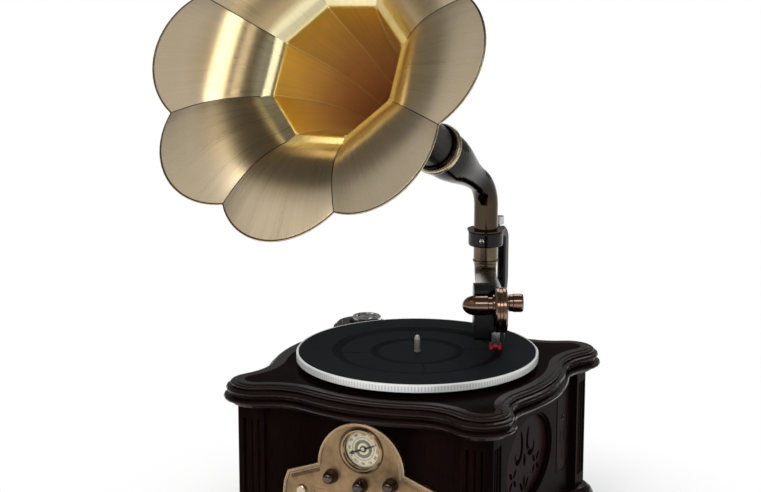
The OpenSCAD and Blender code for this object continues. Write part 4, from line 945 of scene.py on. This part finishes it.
def make_screws():
    """Set screw of the clamp ring, the screws that hold the bracket to the back, and the jack's ring."""
    a = math.radians(SET_SCREW_TURN)
    spot = Matrix.Translation(Vector((*PIVOT, CLAMP_Z)) + polar(CLAMP_R, a))
    aim = spot @ Matrix.Rotation(a, 4, "Z") @ Matrix.Rotation(math.pi / 2, 4, "Y")
    screws = [screw_head(aim, *SET_SCREW)]
    for x in BRACKET_SCREWS_X:
        for z in BRACKET_SCREWS_Z:
            aim = Matrix.Translation((x, BACK_Y, z)) @ Matrix.Rotation(-math.pi / 2, 4, "X")
            screws.append(screw_head(aim, *BRACKET_SCREW))
    heads, cuts = zip(*screws)
    solid("bracket_screws", gather(heads), "chrome")
    # Painted shade: the slots are black bars on the heads, in place of the shade in real cuts.
    solid("bracket_screw_slots", gather(cuts), "print", smooth=False)
    jack = Matrix.Translation(JACK_AT) @ Matrix.Rotation(math.pi / 2, 4, "Y")
    bush = ring(jack, *JACK_RING, 32)
    solid("jack_ring", bush, "black_metal")


# ---- studio

FLOOR_REACH = 30.0
# Distances from the object's middle between which the floor turns plain white.
WHITE_FROM, WHITE_TO = 0.26, 0.5
LAMPS_AIM = (-0.02, 0.0, 0.4)
CAMERA_AT, CAMERA_AIM, CAMERA_LENS = (0.9688, -2.1997, 0.943), (-0.0502, 0.0, 0.3787), 95.2


def make_floor(colour):
    """A pale floor that keeps the object's shadow and turns plain white further out."""
    mesh = bpy.data.meshes.new("studio_floor")
    corners = [(x * FLOOR_REACH, y * FLOOR_REACH, 0) for x, y in ((-1, -1), (1, -1), (1, 1), (-1, 1))]
    mesh.from_pydata(corners, [], [(0, 1, 2, 3)])
    floor = put(bpy.data.objects.new("studio_floor", mesh))
    f = Finish("Studio paper", colour, 0.9)
    mottled = f.noise(f.coords, 3.0, 2.0, 0.5)
    f.set("Base Color", f.blend(mottled, times(colour, 0.985), colour))
    away = f.spread(f.vector("LENGTH", f.coords), WHITE_FROM, WHITE_TO)
    share = f.math("MULTIPLY", seen_directly(f), away)
    white = f.add("ShaderNodeEmission", {"Color": WHITE, "Strength": 1.0}).outputs[0]
    mix = f.add("ShaderNodeMixShader", {0: share, 1: f.shader.outputs[0], 2: white}).outputs[0]
    f.feed(f.tree.nodes["Material Output"].inputs["Surface"], mix)
    mesh.materials.append(f.material)


def seen_directly(t):
    """One for rays from the camera, also through glass."""
    path = t.add("ShaderNodeLightPath").outputs
    return t.math("MAXIMUM", path["Is Camera Ray"], path["Is Transmission Ray"])


def make_world(studio):
    """White where it is seen, and a dimmer room with a dark ceiling and backdrop where metal mirrors it."""
    world = bpy.data.worlds.new("Studio")
    bpy.context.scene.world = world
    world.use_nodes = True
    t = Tree(world.node_tree)
    way = t.parts(t.add("ShaderNodeTexCoord").outputs["Generated"])
    backdrop = t.spread(way["Y"], 0.2, 0.6, studio.room_light, 0.2)
    ceiling = t.spread(way["Z"], 0.35, 0.85, 1.0, studio.ceiling_light)
    mirrored = t.math("MULTIPLY", backdrop, ceiling)
    glossy = t.add("ShaderNodeLightPath").outputs["Is Glossy Ray"]
    strength = t.add("ShaderNodeMix", {0: glossy, 2: studio.world_light, 3: mirrored}).outputs[0]
    light = world.node_tree.nodes["Background"].inputs
    t.feed(light["Color"], WHITE)
    t.feed(light["Strength"], t.add("ShaderNodeMix", {0: seen_directly(t), 2: strength, 3: 1.0}).outputs[0])


def aimed(obj, place, target):
    """Puts a lamp or camera at a place, turned to a target."""
    obj.location = place
    obj.rotation_euler = (Vector(target) - Vector(place)).to_track_quat("-Z", "Y").to_euler()
    return put(obj)


def make_lamps(studio):
    """Soft square lamps."""
    for name, place, size, power in (
        ("key_lamp", (-0.1, -2.2, 2.6), 1.2, studio.key_light),
        ("left_lamp", (-1.65, -1.95, 2.4), 2.0, studio.left_light),
        ("right_lamp", (1.25, -2.0, 2.4), 0.6, studio.right_light),
        ("back_lamp", (-0.4, 2.2, 2.6), 1.6, studio.back_light),
    ):
        lamp = bpy.data.lights.new(name, "AREA")
        lamp.shape, lamp.size, lamp.energy = "SQUARE", size, power
        aimed(bpy.data.objects.new(name, lamp), place, LAMPS_AIM)


def make_camera():
    camera = bpy.data.objects.new("camera", bpy.data.cameras.new("camera"))
    camera.data.lens = CAMERA_LENS
    bpy.context.scene.camera = aimed(camera, CAMERA_AT, CAMERA_AIM)


def make_stage(studio):
    """A pale floor, a plain white surround, soft lamps and the camera."""
    make_floor(studio.floor)
    make_world(studio)
    make_lamps(studio)
    make_camera()
    bpy.context.scene.view_settings.view_transform = "Standard"


# ---- settings


def strength_setting(label, text, value, unit="NONE"):
    return bpy.props.FloatProperty(name=label, description=text, default=value, min=0.0, unit=unit)


def lamp_setting(label, text, value):
    return strength_setting(label, text, value, "POWER")


def colour_setting(label, text, value):
    return bpy.props.FloatVectorProperty(
        name=label, description=text, default=value, subtype="COLOR", min=0.0, max=1.0
    )


class GramophoneColours(bpy.types.PropertyGroup):
    """Colours of the finishes."""

    wood_dark: colour_setting("Wood, dark", "Dark tone of the stained wood", (0.0022, 0.001, 0.0009))
    wood_light: colour_setting("Wood, light", "Light tone of the stained wood", (0.009, 0.0042, 0.0034))
    plate_brass: colour_setting("Plate", "Antique brass of the front plate", (0.36, 0.235, 0.125))
    bright_brass: colour_setting("Bright brass", "Rubbed brass of borders and keys", (0.6, 0.5, 0.36))
    arm_bronze: colour_setting("Tone arm", "Bronze of the tone arm", (0.15, 0.112, 0.07))
    head_copper: colour_setting("Sound box", "Copper bronze of the sound box", (0.3, 0.19, 0.135))
    elbow_bronze: colour_setting("Elbow", "Black bronze of the elbow", (0.022, 0.019, 0.015))
    knob_bronze: colour_setting("Knobs", "Bronze of the knobs", (0.12, 0.085, 0.075))
    dial_cream: colour_setting("Dial", "Cream of the dial", (0.93, 0.84, 0.6))
    horn_pale: colour_setting("Horn, edge", "Beige brass at the petals' edges", (0.66, 0.54, 0.37))
    horn_olive: colour_setting("Horn, petals", "Olive gold of the petals' roots", (0.52, 0.39, 0.21))
    # Painted highlight: the pale gold along the crease; the funnel seams take the same colour.
    horn_crease_highlight: colour_setting("Horn, crease", "Bright gold on the crease", (0.98, 0.88, 0.55))
    horn_gold: colour_setting("Horn, funnel mouth", "Gold behind the crease", (0.93, 0.68, 0.22))
    horn_copper: colour_setting("Horn, funnel", "Copper tone in the funnel", (0.97, 0.8, 0.48))
    horn_throat: colour_setting("Horn, throat", "Dark copper in the throat", (0.95, 0.66, 0.44))


class GramophoneStudio(bpy.types.PropertyGroup):
    """Floor and lamps of the studio."""

    floor: colour_setting("Floor", "Colour of the floor", (0.93, 0.93, 0.93))
    world_light: strength_setting("World", "Strength of the world's light on matt surfaces", 0.8)
    room_light: strength_setting("Room", "Brightness of the room in metal's mirror images", 0.26)
    ceiling_light: strength_setting("Ceiling", "Share of that brightness overhead", 0.35)
    key_light: lamp_setting("Key lamp", "Power of the lamp before the object", 30.0)
    left_light: lamp_setting("Left lamp", "Power of the lamp at the left", 7.5)
    right_light: lamp_setting("Right lamp", "Power of the lamp at the right", 5.0)
    back_light: lamp_setting("Back lamp", "Power of the lamp behind the object", 18.0)


# ---- operators

# The solids that each finish goes on.
PAINTED = {
    "wood_flat": "top_board base_frame",
    "wood_edge": "top_moulding base_moulding",
    "wood_upright": "front_panel corner_posts side_panels",
    "wood_fret": "grille_frets socket_strip",
    "board": "back_panel bottom_panel",
    "rubber": "feet drive_belt",
    "mat": "platter_mat",
    "cloth": "grille_cloths",
    "black_metal": "speakers back_bracket clamp_ring control_pots motor",
    "plate": "front_plate tray_front",
    "border": "plate_border dial_bezel",
    "bright": "left_button right_button back_key play_key next_key elbow_collar platter_bearing motor_pulley",
    "paper": "dial_face",
    "glass": "dial_glass",
    "print": "dial_pointer",
    "knob": "volume_knob mode_knob tuning_knob",
    "black": "disc_drive disc_tray mains_inlet head_shell",
    "green": "circuit_board",
    "steel": "transformer line_sockets",
    "rim": "platter",
    "satin": "spindle",
    "chrome": "adapter adapter_peg thumb_screw cartridge finger_lift",
    "bronze": "arm_sleeve arm_tube",
    "copper": "sound_disc end_caps",
    "red": "stylus",
    "elbow": "elbow",
    "ferrule": "horn_ferrule",
}


class GRAMOPHONE_OT_finishes(bpy.types.Operator):
    """Makes the finishes and puts them on the solids"""

    bl_idname = "gramophone.finishes"
    bl_label = "Finishes"

    def execute(self, context):
        make_finishes(context.scene.gramophone_colours)
        for key, names in PAINTED.items():
            FINISHES[key].paint(*names.split())
        return {"FINISHED"}


class GRAMOPHONE_OT_horn(bpy.types.Operator):
    """Makes the horn's sheet, its seams and its rim wire"""

    bl_idname = "gramophone.horn"
    bl_label = "Horn"

    def execute(self, context):
        make_horn()
        make_horn_seams()
        make_horn_rim()
        return {"FINISHED"}


class GRAMOPHONE_OT_dial(bpy.types.Operator):
    """Makes the dial's scale, numbers and rings"""

    bl_idname = "gramophone.dial"
    bl_label = "Dial"

    def execute(self, context):
        make_dial()
        return {"FINISHED"}


class GRAMOPHONE_OT_knobs(bpy.types.Operator):
    """Makes the domed control knobs"""

    bl_idname = "gramophone.knobs"
    bl_label = "Control knobs"

    def execute(self, context):
        make_knobs()
        return {"FINISHED"}


class GRAMOPHONE_OT_trim(bpy.types.Operator):
    """Makes the front plate's beads and lines, the screws and the jack's ring"""

    bl_idname = "gramophone.trim"
    bl_label = "Plate trim and screws"

    def execute(self, context):
        make_plate_trim()
        make_plate_edge()
        make_screws()
        return {"FINISHED"}


class GRAMOPHONE_OT_stage(bpy.types.Operator):
    """Makes the floor, the lamps and the camera"""

    bl_idname = "gramophone.stage"
    bl_label = "Studio"

    def execute(self, context):
        make_stage(context.scene.gramophone_studio)
        return {"FINISHED"}


class GRAMOPHONE_PT_panel(bpy.types.Panel):
    """Lists the steps and their settings"""

    bl_idname = "GRAMOPHONE_PT_panel"
    bl_label = "Gramophone"
    bl_space_type = "VIEW_3D"
    bl_region_type = "UI"
    bl_category = "Gramophone"

    def draw(self, context):
        for step in STEPS:
            self.layout.operator(step.bl_idname)
        for group in (context.scene.gramophone_colours, context.scene.gramophone_studio):
            column = self.layout.column()
            for name in group.__annotations__:
                column.prop(group, name)


STEPS = (
    GRAMOPHONE_OT_finishes, GRAMOPHONE_OT_horn, GRAMOPHONE_OT_dial,
    GRAMOPHONE_OT_knobs, GRAMOPHONE_OT_trim, GRAMOPHONE_OT_stage,
)
CLASSES = (GramophoneColours, GramophoneStudio, *STEPS, GRAMOPHONE_PT_panel)


def register():
    for cls in CLASSES:
        bpy.utils.register_class(cls)
    bpy.types.Scene.gramophone_colours = bpy.props.PointerProperty(type=GramophoneColours)
    bpy.types.Scene.gramophone_studio = bpy.props.PointerProperty(type=GramophoneStudio)


def unregister():
    del bpy.types.Scene.gramophone_studio
    del bpy.types.Scene.gramophone_colours
    for cls in reversed(CLASSES):
        bpy.utils.unregister_class(cls)


def main():
    register()
    bpy.ops.gramophone.finishes()
    bpy.ops.gramophone.horn()
    bpy.ops.gramophone.dial()
    bpy.ops.gramophone.knobs()
    bpy.ops.gramophone.trim()
    bpy.ops.gramophone.stage()


if __name__ == "__main__":
    main()
